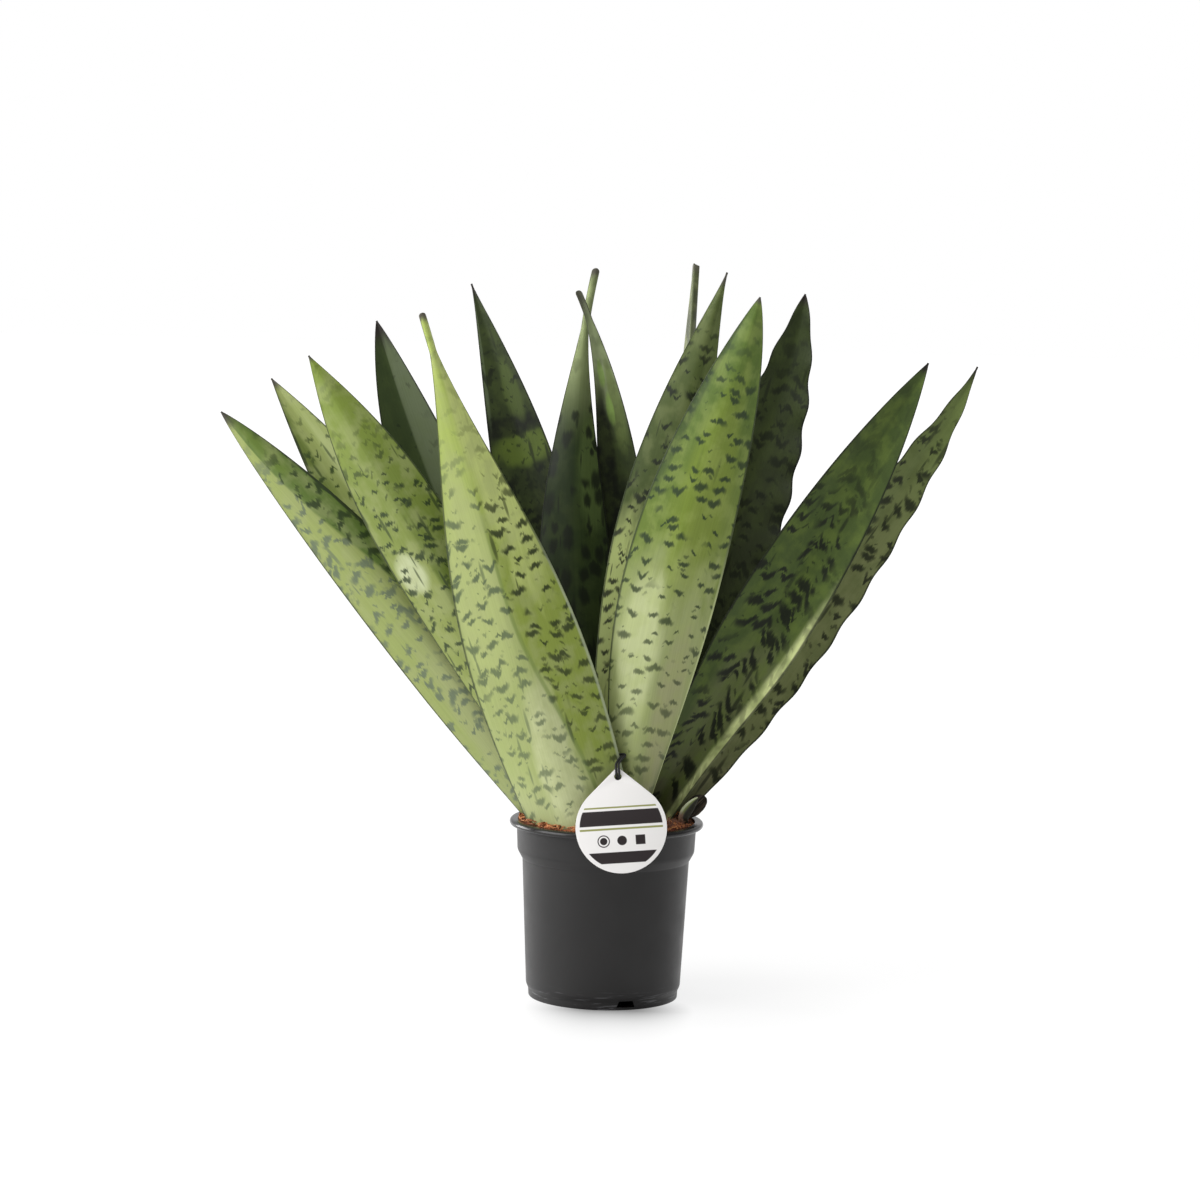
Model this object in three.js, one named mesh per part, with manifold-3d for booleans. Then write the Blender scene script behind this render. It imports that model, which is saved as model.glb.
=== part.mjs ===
// A potted ceylon bowstring hemp: fourteen stiff banded leaves in a 14 cm nursery pot.
// Millimetres, +Z up. The origin is the centre of the pot's flat base, and the best side faces -Y.

import * as THREE from "three";
import { mergeVertices } from "three/addons/utils/BufferGeometryUtils.js";
import Module from "manifold-3d";

const wasm = await Module();
wasm.setup();

// Driving dimensions of the pot
const POT_HEIGHT = 129.4;
const LIP_RADIUS = 70;
const LIP_HEIGHT = 4.6;
const WALL = 1.3;
const BAND_TOP_RADIUS = 65;
const BAND_BOTTOM = 107;
const BODY_TOP_RADIUS = 60.3;
const BODY_TOP = 100.5;
const BODY_BOTTOM_RADIUS = 55.9;
const BODY_BOTTOM = 9;
const FOOT_RADIUS = 54;
const FOOT_HEIGHT = 5.5;
const FLOOR = 1.6;
const FOOT_FLARE = 0.2;
const BAND_DRAFT = 1;
const STEP_DEPTH = 1;
const POT_SIDES = 48;

// Drain notches in the wall of the foot
const NOTCHES = 3;
const NOTCH = { bottom: 2, top: 6.7, wide: 14, narrow: 10 };
const FIRST_NOTCH = THREE.MathUtils.degToRad(-72);

// The coir's surface from the wall inwards, [radius, height], and the clearance that the coir keeps
// to the wall and to each leaf in it
const SOIL_SURFACE = [[BAND_TOP_RADIUS - 2.1, 128.5], [58, 131], [50, 132.5], [30, 133.6], [0, 134]];
const SOIL_FOOT_INSET = 6;
const GAP = 0.3;
const HOLE_GAP = 0.4;
const HOLE_REACH = 16;

// The leaves: where they leave the coir, how deep they stand in it, and how fine they are
const LEAF_LEVEL = 133;
const ROOT_DEPTH = 14;
const ROWS = 16;
const WAVED_ROWS = 32;
const COLUMNS = 6;
const THINNEST = 0.7;
const MARGIN = 0.9;
const TIP_HALF_WIDTH = 1.3;
const TIP_THINNING = 0.62;
const MARGIN_THINNING = 0.78;
const FOLD_ROUNDING = 0.1;
const HOOK_PEAK = 15;
const WAVE_LENGTH = 33;

// The hang tag and its elastic
const TAG = { radius: 32.25, apex: 42.75, apexRadius: 2.2, thickness: 0.8, hole: 36.6, holeRadius: 2.6 };
const TAG_LEAN = THREE.MathUtils.degToRad(17);
const TAG_TURN = THREE.MathUtils.degToRad(5);
const TAG_CENTRE = new THREE.Vector3(10.5, -68.8, 134.5);
const STRAND = 1.7;
const STRAND_SPACING = 2.0;
const ELASTIC_MIDDLE = new THREE.Vector3(9, -36, 165);
const STRAND_STEPS = 112;
const STRAND_SIDES = 6;

// How every leaf is described. foot: [x, y] where it leaves the coir. tip: [x, y, z].
// bow: how far the middle of the leaf swings from the straight line, [x, y], doubled.
// hook: a late bend in x near the tip. width: widest breadth, at the fraction `widest` of the length.
// base: breadth at the coir as a fraction of width. swell: above 1 it widens later on its way up.
// point and full: how the blade closes to its tip.
// face: heading in degrees of the hollow side, at the coir and at the tip. fold: the V of the blade.
// curl: how much its margins rise, at the coir and at the tip. wave: height of the wavy margin.
const LEAF = {
  hook: 0, widest: 0.42, swell: 1, point: 0.9, full: 2, fold: 0.25, curl: [0.25, 0.05], wave: 0, thick: 5,
  rows: ROWS, root: ROOT_DEPTH,
};

const LEAVES = {
  // The left-hand shoot, outermost leaf first
  leaf_01: { foot: [-38, -3], tip: [-280, -25, 419], bow: [20, 0], width: 55, base: 0.72,
    widest: 0.35, point: 0.85, face: [85, 90] },
  leaf_02: { foot: [-40, 23], tip: [-251, 45, 440], bow: [10, 0], width: 60, base: 0.5,
    widest: 0.45, point: 1, face: [275, 265], curl: [0.2, 0.05] },
  leaf_03: { foot: [-18, -31], tip: [-217, -44, 461], bow: [-1, 4], width: 56, base: 0.54,
    widest: 0.6, point: 1.05, face: [78, 90] },
  leaf_04: { foot: [-10, 36], tip: [-178, 90, 482], bow: [-30, 4], width: 60, base: 0.46,
    widest: 0.45, face: [275, 265], curl: [0.2, 0.05] },
  leaf_05: { foot: [-24, -49], tip: [-136, -85, 494], bow: [0, 0], width: 87, base: 0.9,
    widest: 0.25, point: 1.8, face: [72, 102], curl: [0.3, 0.05] },
  // The back and the centre
  leaf_06: { foot: [-20, 49], tip: [-110, 125, 510], bow: [24, 0], width: 54, base: 0.5,
    widest: 0.45, point: 1.2, face: [275, 265], curl: [0.2, 0.05] },
  leaf_07: { foot: [-5, 10], tip: [-17, 100, 524], bow: [-34, -14], hook: -2, width: 52, base: 0.46,
    widest: 0.4, point: 2.2, face: [90, 90] },
  leaf_08: { foot: [11, 49], tip: [-30, 72, 508], bow: [34, 30], hook: 6, width: 38, base: 0.58,
    widest: 0.4, point: 1.3, face: [275, 265], curl: [0.2, 0.05] },
  leaf_09: { foot: [37, 44], tip: [56, 170, 528], bow: [0, 0], width: 42, base: 0.3,
    widest: 0.4, point: 1, face: [200, 190], curl: [0.2, 0.05], thick: 4 },
  // The right-hand shoot
  leaf_10: { foot: [11, -16], tip: [77, 5, 525], bow: [-30, 0], width: 60, base: 0.56,
    widest: 0.45, point: 1.3, face: [90, 85] },
  leaf_11: { foot: [17, -33], tip: [98, -75, 510], bow: [-26, 0], hook: 3, width: 68, base: 0.28,
    widest: 0.46, point: 0.88, face: [98, 85], curl: [0.3, 0.05] },
  leaf_12: { foot: [26, 33], tip: [137, 85, 509], bow: [8, 0], hook: 3, width: 62, base: 0.4,
    widest: 0.45, point: 0.85, face: [275, 270], curl: [0.2, 0.05], wave: 2, rows: WAVED_ROWS },
  leaf_13: { foot: [30, 10], tip: [222, -2, 464], bow: [1, 0], width: 59, base: 0.54,
    widest: 0.42, swell: 1.8, point: 0.95, full: 2.2, face: [270, 275], curl: [0.25, 0.1] },
  leaf_14: { foot: [46, 23], tip: [262, 50, 460], bow: [4, 0], hook: 4, width: 48, base: 0.42,
    widest: 0.4, point: 1.1, face: [280, 285], curl: [0.2, 0.05], wave: 2, rows: WAVED_ROWS },
  // Two short scale leaves at the foot of the right-hand shoot, one green and one dried
  leaf_stub: { foot: [55.5, -9], tip: [67.5, -7, 149], bow: [0, 0], width: 8, base: 0.9,
    widest: 0.3, point: 0.4, face: [250, 260], curl: [0.1, 0.1], thick: 3, rows: 6, root: 7 },
  dry_sheath: { foot: [61, 8], tip: [73.5, 6, 146], bow: [0, 0], width: 12, base: 0.9,
    widest: 0.3, point: 0.5, face: [195, 200], curl: [0.3, 0.2], thick: 1.6, rows: 6, root: 7 },
};

const GREEN_LIT = { color: 0xa0ae66, roughness: 0.42, metalness: 0 };
const GREEN_DARK = { color: 0x44572b, roughness: 0.42, metalness: 0 };
const STUB_GREEN = { color: 0x9aa578, roughness: 0.5, metalness: 0 };
const DRIED = { color: 0x2a2420, roughness: 0.8, metalness: 0 };
const POT_PLASTIC = { color: 0x3c3c3e, roughness: 0.5, metalness: 0 };
const COIR = { color: 0x8a5232, roughness: 0.95, metalness: 0 };
const TAG_CARD = { color: 0xe8e6e2, roughness: 0.35, metalness: 0 };
const ELASTIC = { color: 0x141416, roughness: 0.7, metalness: 0 };
const LIT_LEAVES = ["leaf_01", "leaf_02", "leaf_03", "leaf_05", "leaf_10", "leaf_11"];

const { clamp, lerp: mix, degToRad } = THREE.MathUtils;

// Closed mesh to solid and back, for cutting
function toSolid(geometry) {
  const bare = geometry.clone();
  bare.deleteAttribute("normal");
  bare.deleteAttribute("uv");
  const merged = mergeVertices(bare, 1e-4);
  return new wasm.Manifold(new wasm.Mesh({
    numProp: 3,
    vertProperties: new Float32Array(merged.attributes.position.array),
    triVerts: new Uint32Array(merged.index.array),
  }));
}

function toGeometry(solid) {
  const mesh = solid.getMesh();
  const geometry = new THREE.BufferGeometry();
  geometry.setAttribute("position", new THREE.BufferAttribute(mesh.vertProperties, 3));
  geometry.setIndex(new THREE.BufferAttribute(mesh.triVerts, 1));
  return geometry;
}

// A lathe about +Z from [radius, height] pairs
function turned(profile, sides) {
  const points = profile.map(([radius, height]) => new THREE.Vector2(radius, height));
  return new THREE.LatheGeometry(points, sides).rotateX(Math.PI / 2);
}

// Inner radius of the pot's wall at a height, in the body or in the band
function wallInside(height) {
  if (height > BAND_BOTTOM) {
    const rise = (height - BAND_BOTTOM) / (POT_HEIGHT - BAND_BOTTOM);
    return mix(BAND_TOP_RADIUS - BAND_DRAFT, BAND_TOP_RADIUS, rise) - WALL;
  }
  const rise = (height - BODY_BOTTOM) / (BODY_TOP - BODY_BOTTOM);
  return mix(BODY_BOTTOM_RADIUS, BODY_TOP_RADIUS, rise) - WALL;
}

// The moulded pot: flat floor, foot, tapered body, band and a lip that turns down
function potSolid() {
  const lipBottom = POT_HEIGHT - LIP_HEIGHT;
  const lipUnderside = POT_HEIGHT - WALL - 0.1;
  const profile = [
    [0, 0],
    [FOOT_RADIUS - 0.6, 0],
    [FOOT_RADIUS, 0.6],
    [FOOT_RADIUS + FOOT_FLARE, FOOT_HEIGHT],
    [BODY_BOTTOM_RADIUS, BODY_BOTTOM],
    [BODY_TOP_RADIUS, BODY_TOP],
    [BODY_TOP_RADIUS + 0.7, BODY_TOP + STEP_DEPTH],
    [BAND_TOP_RADIUS - BAND_DRAFT, BAND_BOTTOM],
    [BAND_TOP_RADIUS, lipUnderside],
    [LIP_RADIUS - WALL, lipUnderside],
    [LIP_RADIUS - WALL, lipBottom],
    [LIP_RADIUS - 0.4, lipBottom],
    [LIP_RADIUS, lipBottom + 0.5],
    [LIP_RADIUS, POT_HEIGHT - 1.2],
    [LIP_RADIUS - 0.9, POT_HEIGHT - 0.2],
    [LIP_RADIUS - 1.8, POT_HEIGHT],
    [BAND_TOP_RADIUS - 0.8, POT_HEIGHT],
    [BAND_TOP_RADIUS - WALL, POT_HEIGHT - 0.5],
    [BAND_TOP_RADIUS - BAND_DRAFT - WALL, BAND_BOTTOM + 0.5],
    [BODY_TOP_RADIUS - WALL + 0.5, BODY_TOP + STEP_DEPTH + 0.8],
    [BODY_TOP_RADIUS - WALL, BODY_TOP],
    [BODY_BOTTOM_RADIUS - WALL, BODY_BOTTOM + 0.5],
    [FOOT_RADIUS + FOOT_FLARE - WALL, FOOT_HEIGHT],
    [FOOT_RADIUS - WALL, FLOOR],
    [0, FLOOR],
  ];
  let solid = toSolid(turned(profile, POT_SIDES));
  for (let i = 0; i < NOTCHES; i += 1) {
    solid = solid.subtract(toSolid(notchCutter(FIRST_NOTCH + (i * 2 * Math.PI) / NOTCHES)));
  }
  return solid;
}

// A trapezoid that reaches through the foot's wall, pointing along `heading`
function notchCutter(heading) {
  const outline = new THREE.Shape([
    new THREE.Vector2(-NOTCH.wide / 2, NOTCH.bottom),
    new THREE.Vector2(NOTCH.wide / 2, NOTCH.bottom),
    new THREE.Vector2(NOTCH.narrow / 2, NOTCH.top),
    new THREE.Vector2(-NOTCH.narrow / 2, NOTCH.top),
  ]);
  const reach = 8;
  const cutter = new THREE.ExtrudeGeometry(outline, { depth: reach, bevelEnabled: false });
  cutter.rotateX(Math.PI / 2);
  cutter.rotateZ(Math.PI / 2);
  cutter.translate(FOOT_RADIUS - reach / 2, 0, 0);
  return cutter.rotateZ(heading);
}

// The coir fills the pot, mounded a little, and stops short of the drain notches
function soilSolid() {
  const shoulder = BODY_BOTTOM + SOIL_FOOT_INSET;
  const profile = [
    [0, FLOOR + GAP],
    [wallInside(BODY_BOTTOM) - GAP - SOIL_FOOT_INSET, FLOOR + GAP],
    [wallInside(shoulder) - GAP, shoulder],
    [wallInside(BODY_TOP) - GAP, BODY_TOP],
    [BODY_TOP_RADIUS - WALL + 0.5 - GAP, BODY_TOP + 2 * STEP_DEPTH],
    [wallInside(BAND_BOTTOM + 0.5) - GAP - 0.1, BAND_BOTTOM + 0.8],
    [BAND_TOP_RADIUS - WALL - GAP - 0.1, POT_HEIGHT - 2],
    ...SOIL_SURFACE,
  ];
  let solid = toSolid(turned(profile, POT_SIDES));
  for (const leaf of leaves()) {
    solid = solid.subtract(toSolid(bladeGeometry(leaf, rootRows(leaf), HOLE_GAP)));
  }
  return solid;
}

// Every leaf with the values that it shares with the others
function leaves() {
  return Object.entries(LEAVES).map(([name, own]) => ({ ...LEAF, ...own, name }));
}

// A point of a blade. s: 0 at the coir, 1 at the tip. u: -1 to 1 across. side: 0 hollow, 1 keeled.
function bladePoint(leaf, s, u, side, grow) {
  const foot = new THREE.Vector3(leaf.foot[0], leaf.foot[1], LEAF_LEVEL);
  const tip = new THREE.Vector3(...leaf.tip);
  const middle = foot.clone().add(tip).multiplyScalar(0.5);
  middle.x += leaf.bow[0];
  middle.y += leaf.bow[1];
  const along = clamp(s, 0, 1);
  const centre = foot.clone().multiplyScalar((1 - s) ** 2)
    .addScaledVector(middle, 2 * s * (1 - s))
    .addScaledVector(tip, s ** 2);
  centre.x += leaf.hook * HOOK_PEAK * along ** 5 * (1 - along);
  const forward = middle.clone().sub(foot).multiplyScalar(1 - s)
    .addScaledVector(tip.clone().sub(middle), s)
    .normalize();
  const heading = degToRad(mix(leaf.face[0], leaf.face[1], along));
  const hollow = new THREE.Vector3(Math.cos(heading), Math.sin(heading), 0);
  hollow.addScaledVector(forward, -hollow.dot(forward)).normalize();
  const across = forward.clone().cross(hollow);
  const half = halfBreadth(leaf, along) + grow;
  const curl = mix(leaf.curl[0], leaf.curl[1], 1 - (1 - clamp(along / 0.5, 0, 1)) ** 2);
  const softened = Math.hypot(u, FOLD_ROUNDING) - FOLD_ROUNDING;
  const rise = half * (leaf.fold * softened + curl * u * u);
  const slope = leaf.fold * Math.sign(u) * Math.min(Math.abs(u) * 5, 1) + 2 * curl * u;
  const normal = hollow.clone().addScaledVector(across, -slope).normalize();
  const depth = side ? bladeThickness(leaf, along, u) + grow : -grow;
  return centre
    .addScaledVector(across, half * u)
    .addScaledVector(hollow, rise + margin(leaf, s, u))
    .addScaledVector(normal, -depth);
}

// Half the breadth: it swells from the base to the widest place, then closes to the tip
function halfBreadth(leaf, along) {
  const rising = clamp(along / leaf.widest, 0, 1) ** leaf.swell;
  const swelling = leaf.base + (1 - leaf.base) * Math.sin((Math.PI / 2) * rising);
  const beyond = clamp((along - leaf.widest) / (1 - leaf.widest), 0, 1);
  const closing = Math.max(1 - beyond ** leaf.full, 1e-6) ** leaf.point;
  return Math.max((leaf.width / 2) * (along < leaf.widest ? swelling : closing), TIP_HALF_WIDTH);
}

// Thick along the keel and thin at the margins, thinner towards the tip
function bladeThickness(leaf, along, u) {
  const body = leaf.thick * (1 - TIP_THINNING * along) * (1 - MARGIN_THINNING * u * u);
  return Math.max(Math.max(body, MARGIN) * clamp((1 - along) * 14, 0.25, 1), THINNEST);
}

// The wavy margin of some leaves
function margin(leaf, s, u) {
  const length = leaf.tip[2] - LEAF_LEVEL;
  const fade = clamp(4 * s, 0, 1) * clamp(6 * (1 - s), 0, 1);
  return leaf.wave * Math.sin((2 * Math.PI * s * length) / WAVE_LENGTH + 1) * u ** 3 * fade;
}

// Stations along a leaf: its root in the coir, the coir's surface, then evenly to the tip
function bladeRows(leaf) {
  const rows = [-leaf.root / (leaf.tip[2] - LEAF_LEVEL)];
  for (let i = 0; i <= leaf.rows; i += 1) {
    rows.push(i / leaf.rows);
  }
  return rows;
}

// The stations of the hole that a leaf stands in, a little deeper than its root
function rootRows(leaf) {
  const length = leaf.tip[2] - LEAF_LEVEL;
  const top = Math.min(HOLE_REACH / length, 1);
  const rows = bladeRows(leaf).filter((s) => s < top);
  return [rows[0] - HOLE_GAP / length, ...rows.slice(1), top];
}

// A closed blade between two grids of points, both split into triangles along the same diagonals
function bladeGeometry(leaf, rows, grow = 0) {
  const stride = COLUMNS + 1;
  const positions = [];
  for (const side of [0, 1]) {
    for (const s of rows) {
      for (let c = 0; c < stride; c += 1) {
        positions.push(...bladePoint(leaf, s, (2 * c) / COLUMNS - 1, side, grow).toArray());
      }
    }
  }
  const at = (side, r, c) => (side * rows.length + r) * stride + c;
  const index = [];
  const quad = (a, b, c, d) => index.push(a, b, c, a, c, d);
  const last = rows.length - 1;
  for (let r = 0; r < last; r += 1) {
    for (let c = 0; c < COLUMNS; c += 1) {
      quad(at(0, r, c), at(0, r, c + 1), at(0, r + 1, c + 1), at(0, r + 1, c));
      index.push(at(1, r, c), at(1, r + 1, c + 1), at(1, r, c + 1));
      index.push(at(1, r, c), at(1, r + 1, c), at(1, r + 1, c + 1));
    }
    quad(at(0, r, 0), at(0, r + 1, 0), at(1, r + 1, 0), at(1, r, 0));
    quad(at(0, r, COLUMNS), at(1, r, COLUMNS), at(1, r + 1, COLUMNS), at(0, r + 1, COLUMNS));
  }
  for (let c = 0; c < COLUMNS; c += 1) {
    quad(at(0, 0, c), at(1, 0, c), at(1, 0, c + 1), at(0, 0, c + 1));
    quad(at(0, last, c), at(0, last, c + 1), at(1, last, c + 1), at(1, last, c));
  }
  const geometry = new THREE.BufferGeometry();
  geometry.setAttribute("position", new THREE.Float32BufferAttribute(positions, 3));
  geometry.setIndex(index);
  return geometry;
}

// The tag lies in a frame of its own: x across it, y towards its apex, z out of its face
function tagFrame() {
  const turn = new THREE.Matrix4().makeRotationZ(TAG_TURN);
  const stand = new THREE.Matrix4().makeRotationX(Math.PI / 2 - TAG_LEAN);
  return new THREE.Matrix4().makeTranslation(TAG_CENTRE).multiply(stand).multiply(turn);
}

// A drop: a round body whose two straight shoulders run up to a small round apex
function tagGeometry() {
  const apexCentre = TAG.apex - TAG.apexRadius;
  const shoulder = Math.acos((TAG.radius - TAG.apexRadius) / apexCentre);
  const outline = [
    ...arc(0, TAG.radius, Math.PI / 2 + shoulder, 2.5 * Math.PI - shoulder, 36),
    ...arc(apexCentre, TAG.apexRadius, Math.PI / 2 - shoulder, Math.PI / 2 + shoulder, 5),
  ];
  const shape = new THREE.Shape(outline);
  shape.holes.push(new THREE.Path(arc(TAG.hole, TAG.holeRadius, 0, 2 * Math.PI, 16).slice(1)));
  const geometry = new THREE.ExtrudeGeometry(shape, { depth: TAG.thickness, bevelEnabled: false });
  return geometry.translate(0, 0, -TAG.thickness / 2);
}

// Points of an arc about (0, height)
function arc(height, radius, from, to, steps) {
  const points = [];
  for (let i = 0; i <= steps; i += 1) {
    const angle = mix(from, to, i / steps);
    points.push(new THREE.Vector2(radius * Math.cos(angle), height + radius * Math.sin(angle)));
  }
  return points;
}

// The elastic's way: through the hole, up the face, over the apex, back between two leaves,
// round the narrow foot of leaf_11 and forward again behind the tag
function elasticRoute() {
  const onTag = (up, out) => new THREE.Vector3(0, up, out).applyMatrix4(tagFrame());
  const at = (x, y, z) => new THREE.Vector3(x, y, z);
  return new THREE.CatmullRomCurve3([
    onTag(TAG.hole, 0),
    onTag(TAG.hole + 1.4, 2),
    onTag(TAG.apex - 1.6, 2.1),
    onTag(TAG.apex + 2, 1.2),
    at(9, -50, 181),
    at(11.2, -44.5, 182.5),
    at(7, -40.2, 181.5),
    at(-1, -35, 178),
    at(0, -28, 174),
    at(10, -26, 168),
    at(22, -25.5, 159),
    at(32, -23.5, 150),
    at(36, -27, 145),
    at(34, -34, 144),
    at(27, -42, 148),
    at(17, -50, 158),
    onTag(TAG.hole - 0.4, -3),
  ], true);
}

// One closed strand that runs the route twice, side by side with itself
class DoubledStrand extends THREE.Curve {
  constructor() {
    super();
    this.route = elasticRoute();
    this.middle = ELASTIC_MIDDLE;
  }

  getPoint(t, target = new THREE.Vector3()) {
    const lap = (2 * t) % 1;
    const point = this.route.getPointAt(lap);
    const along = this.route.getTangentAt(lap);
    const outward = point.clone().sub(this.middle);
    outward.addScaledVector(along, -outward.dot(along)).normalize();
    const sideways = along.clone().cross(outward);
    const twist = 2 * Math.PI * t;
    return target.copy(point)
      .addScaledVector(sideways, (STRAND_SPACING / 2) * Math.cos(twist))
      .addScaledVector(outward, (STRAND_SPACING / 2) * Math.sin(twist));
  }
}

const group = new THREE.Group();

function add(name, geometry, finish) {
  const mesh = new THREE.Mesh(geometry, new THREE.MeshStandardMaterial(finish));
  mesh.name = name;
  group.add(mesh);
  return mesh;
}

add("pot", toGeometry(potSolid()), POT_PLASTIC);
add("soil", toGeometry(soilSolid()), COIR);
for (const leaf of leaves()) {
  const green = LIT_LEAVES.includes(leaf.name) ? GREEN_LIT : GREEN_DARK;
  const finish = { leaf_stub: STUB_GREEN, dry_sheath: DRIED }[leaf.name] ?? green;
  add(leaf.name, bladeGeometry(leaf, bladeRows(leaf)), finish);
}

add("label", tagGeometry(), TAG_CARD).applyMatrix4(tagFrame());
const elastic = new THREE.TubeGeometry(new DoubledStrand(), STRAND_STEPS, STRAND / 2, STRAND_SIDES, true);
add("label_loop", elastic, ELASTIC);

export default group;
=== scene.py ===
# %% [markdown]
# # A potted ceylon bowstring hemp
# Fourteen stiff, banded leaves stand in coconut coir in a dark grey nursery pot, with a plain hang tag on
# a loop of black elastic. Each piece is made in code, in metres, at the place where the CAD frame has it.
# The origin is the middle of the pot's base, +Z is up and the photographed side looks towards -Y.

# %% Load the frame
import math
from functools import partial, reduce

import bpy
import bmesh
import numpy as np
from mathutils import Matrix, Vector, noise


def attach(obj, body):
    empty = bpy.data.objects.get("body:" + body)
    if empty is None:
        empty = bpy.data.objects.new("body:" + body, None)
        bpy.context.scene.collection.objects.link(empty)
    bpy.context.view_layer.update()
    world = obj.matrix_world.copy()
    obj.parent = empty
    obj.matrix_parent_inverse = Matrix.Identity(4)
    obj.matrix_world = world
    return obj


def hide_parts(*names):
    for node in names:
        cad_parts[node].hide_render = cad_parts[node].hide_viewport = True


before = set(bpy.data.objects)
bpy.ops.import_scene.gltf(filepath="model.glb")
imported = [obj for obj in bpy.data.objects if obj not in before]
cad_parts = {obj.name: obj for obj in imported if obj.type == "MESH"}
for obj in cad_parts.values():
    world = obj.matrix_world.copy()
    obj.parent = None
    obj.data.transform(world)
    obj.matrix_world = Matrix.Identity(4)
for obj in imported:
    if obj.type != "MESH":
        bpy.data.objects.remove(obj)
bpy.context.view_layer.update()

# %% [markdown]
# ## The camera
# The picture was taken from a little above the soil, from far away, so the upright sides hardly converge.
# A real camera would stand 2.75 m in front of the pot with a long lens. The numbers come from laying the
# pot's rim, its foot and its upright sides over the photograph. The camera also leans sideways by 1.3
# degrees, as a hand-held one does. A matrix of the three view directions says all of this at once.

# %% Set up the camera
CAMERA_PLACE = (0, -2.75, 0.577)
SENSOR_WIDTH = 36
PITCH, YAW, ROLL = (math.radians(a) for a in (5.99, -0.175, 1.313))
FOCAL_SHARE = 3847 / 1200

forward = Vector((math.sin(YAW) * math.cos(PITCH), math.cos(YAW) * math.cos(PITCH), -math.sin(PITCH)))
level = forward.cross(Vector((0, 0, 1))).normalized()
upright = level.cross(forward)
right = level * math.cos(ROLL) + upright * math.sin(ROLL)
up = upright * math.cos(ROLL) - level * math.sin(ROLL)

camera = bpy.data.objects.new("camera", bpy.data.cameras.new("camera"))
camera.data.sensor_width = SENSOR_WIDTH
camera.data.lens = SENSOR_WIDTH * FOCAL_SHARE
camera.data.clip_end = 30
camera.matrix_world = Matrix((right, up, -forward)).transposed().to_4x4()
camera.location = CAMERA_PLACE
bpy.context.scene.collection.objects.link(camera)
bpy.context.scene.camera = camera
print("lens in mm:", round(camera.data.lens, 1))

# %% [markdown]
# ## Colours and nodes
# Colours are written as the sRGB hex values that a paint program shows, and shaders work in linear light,
# so one function turns the first into the second. Another adds a node. Plain values and links fill its
# sockets in order, capitalised words name a socket, and lower-case words are the node's own settings. A
# second word after the kind sets its main choice: "Math MULTIPLY" is a Math node that multiplies, "Mix
# RGBA" mixes two colours, and "MapRange SMOOTHSTEP" leads a value softly from one limit to another.


# %% Helpers for every material
MAIN_CHOICE = {
    "Math": "operation", "VectorMath": "operation", "MapRange": "interpolation_type", "Mix": "data_type",
}


def linear(hex_colour):
    """sRGB hex to the linear RGBA that a shader takes."""
    parts = [int(hex_colour[i:i + 2], 16) / 255 for i in (1, 3, 5)]
    return (*[p / 12.92 if p <= 0.04045 else ((p + 0.055) / 1.055) ** 2.4 for p in parts], 1)


def add_node(tree, kind, *values, **words):
    """A new node with its settings and links."""
    kind, *choice = kind.split()
    made = tree.nodes.new("ShaderNode" + kind)
    if choice:
        setattr(made, MAIN_CHOICE[kind], choice[0])
    for word, value in words.items():
        if word[0].islower():
            setattr(made, word, value)
    sockets = [s for s in made.inputs if s.enabled]
    named = [(made.inputs[word], value) for word, value in words.items() if word[0].isupper()]
    for socket, value in [*zip(sockets, values), *named]:
        if isinstance(value, bpy.types.Node):
            value = next(s for s in value.outputs if s.enabled)
        if isinstance(value, bpy.types.NodeSocket):
            tree.links.new(value, socket)
        else:
            socket.default_value = value
    return made


def new_material(name):
    """A material with an empty tree, and the short call that adds nodes to it."""
    material = bpy.data.materials.new(name)
    material.use_nodes = True
    material.node_tree.nodes.clear()
    return material, partial(add_node, material.node_tree)


def finish_material(add, **words):
    """Ends a tree in one Principled shader."""
    shader = add("BsdfPrincipled", **{word.replace("_", " "): value for word, value in words.items()})
    add("OutputMaterial", shader)


def read_kept(add, name):
    """The three numbers that a mesh keeps at each vertex under this name."""
    return add("SeparateXYZ", add("Attribute", attribute_name=name).outputs["Vector"]).outputs


# %% [markdown]
# ## The room
# The plant stands on a white paper sweep. Such a sweep is lit until it is nearly white, so the paper gives
# off light here and needs no strong lamp. Nothing but the floor shows behind the plant. The air round it
# is brighter at the back, where lit paper would stand, and dim in front, so the leaves keep their depth.

# %% Light the air
DIM_FRONT, BRIGHT_BACK = 0.17, 0.7

world = bpy.data.worlds.new("studio")
bpy.context.scene.world = world
world.use_nodes = True
world.node_tree.nodes.clear()
add = partial(add_node, world.node_tree)
seen = add("Background", Color=linear("#FFFFFF"), Strength=1.0)
backward = add("SeparateXYZ", add("TexCoord").outputs["Generated"]).outputs["Y"]
backdrop = add("MapRange SMOOTHSTEP", backward, 0.1, 0.8, DIM_FRONT, BRIGHT_BACK)
room_light = add("Background", Color=linear("#FFFFFF"), Strength=backdrop)
by_camera = add("LightPath").outputs["Is Camera Ray"]
sky = add("MixShader", by_camera, room_light, seen)
add("OutputWorld", sky)
print("light of the air, front and back:", DIM_FRONT, BRIGHT_BACK)

# %% [markdown]
# Matt paper is white all over and rough, so its colour needs no pattern, but its light does. It is dimmed
# where the pot keeps it off: in a close dark contact shadow under the front of the foot, and in a wide
# faint shade beside it. It also falls off a little near the plant.

# %% Lay the paper
FOOT_RADIUS = 0.054
CONTACT_DEPTH, CONTACT_FADE = 0.68, 0.036
SHADE_DEPTH, SHADE_MIDDLE = 0.06, (0.07, 0.0, 0)
GLOW_NEAR, GLOW_FAR = 0.88, 1.02
FLOOR_WIDTH = 24

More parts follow.
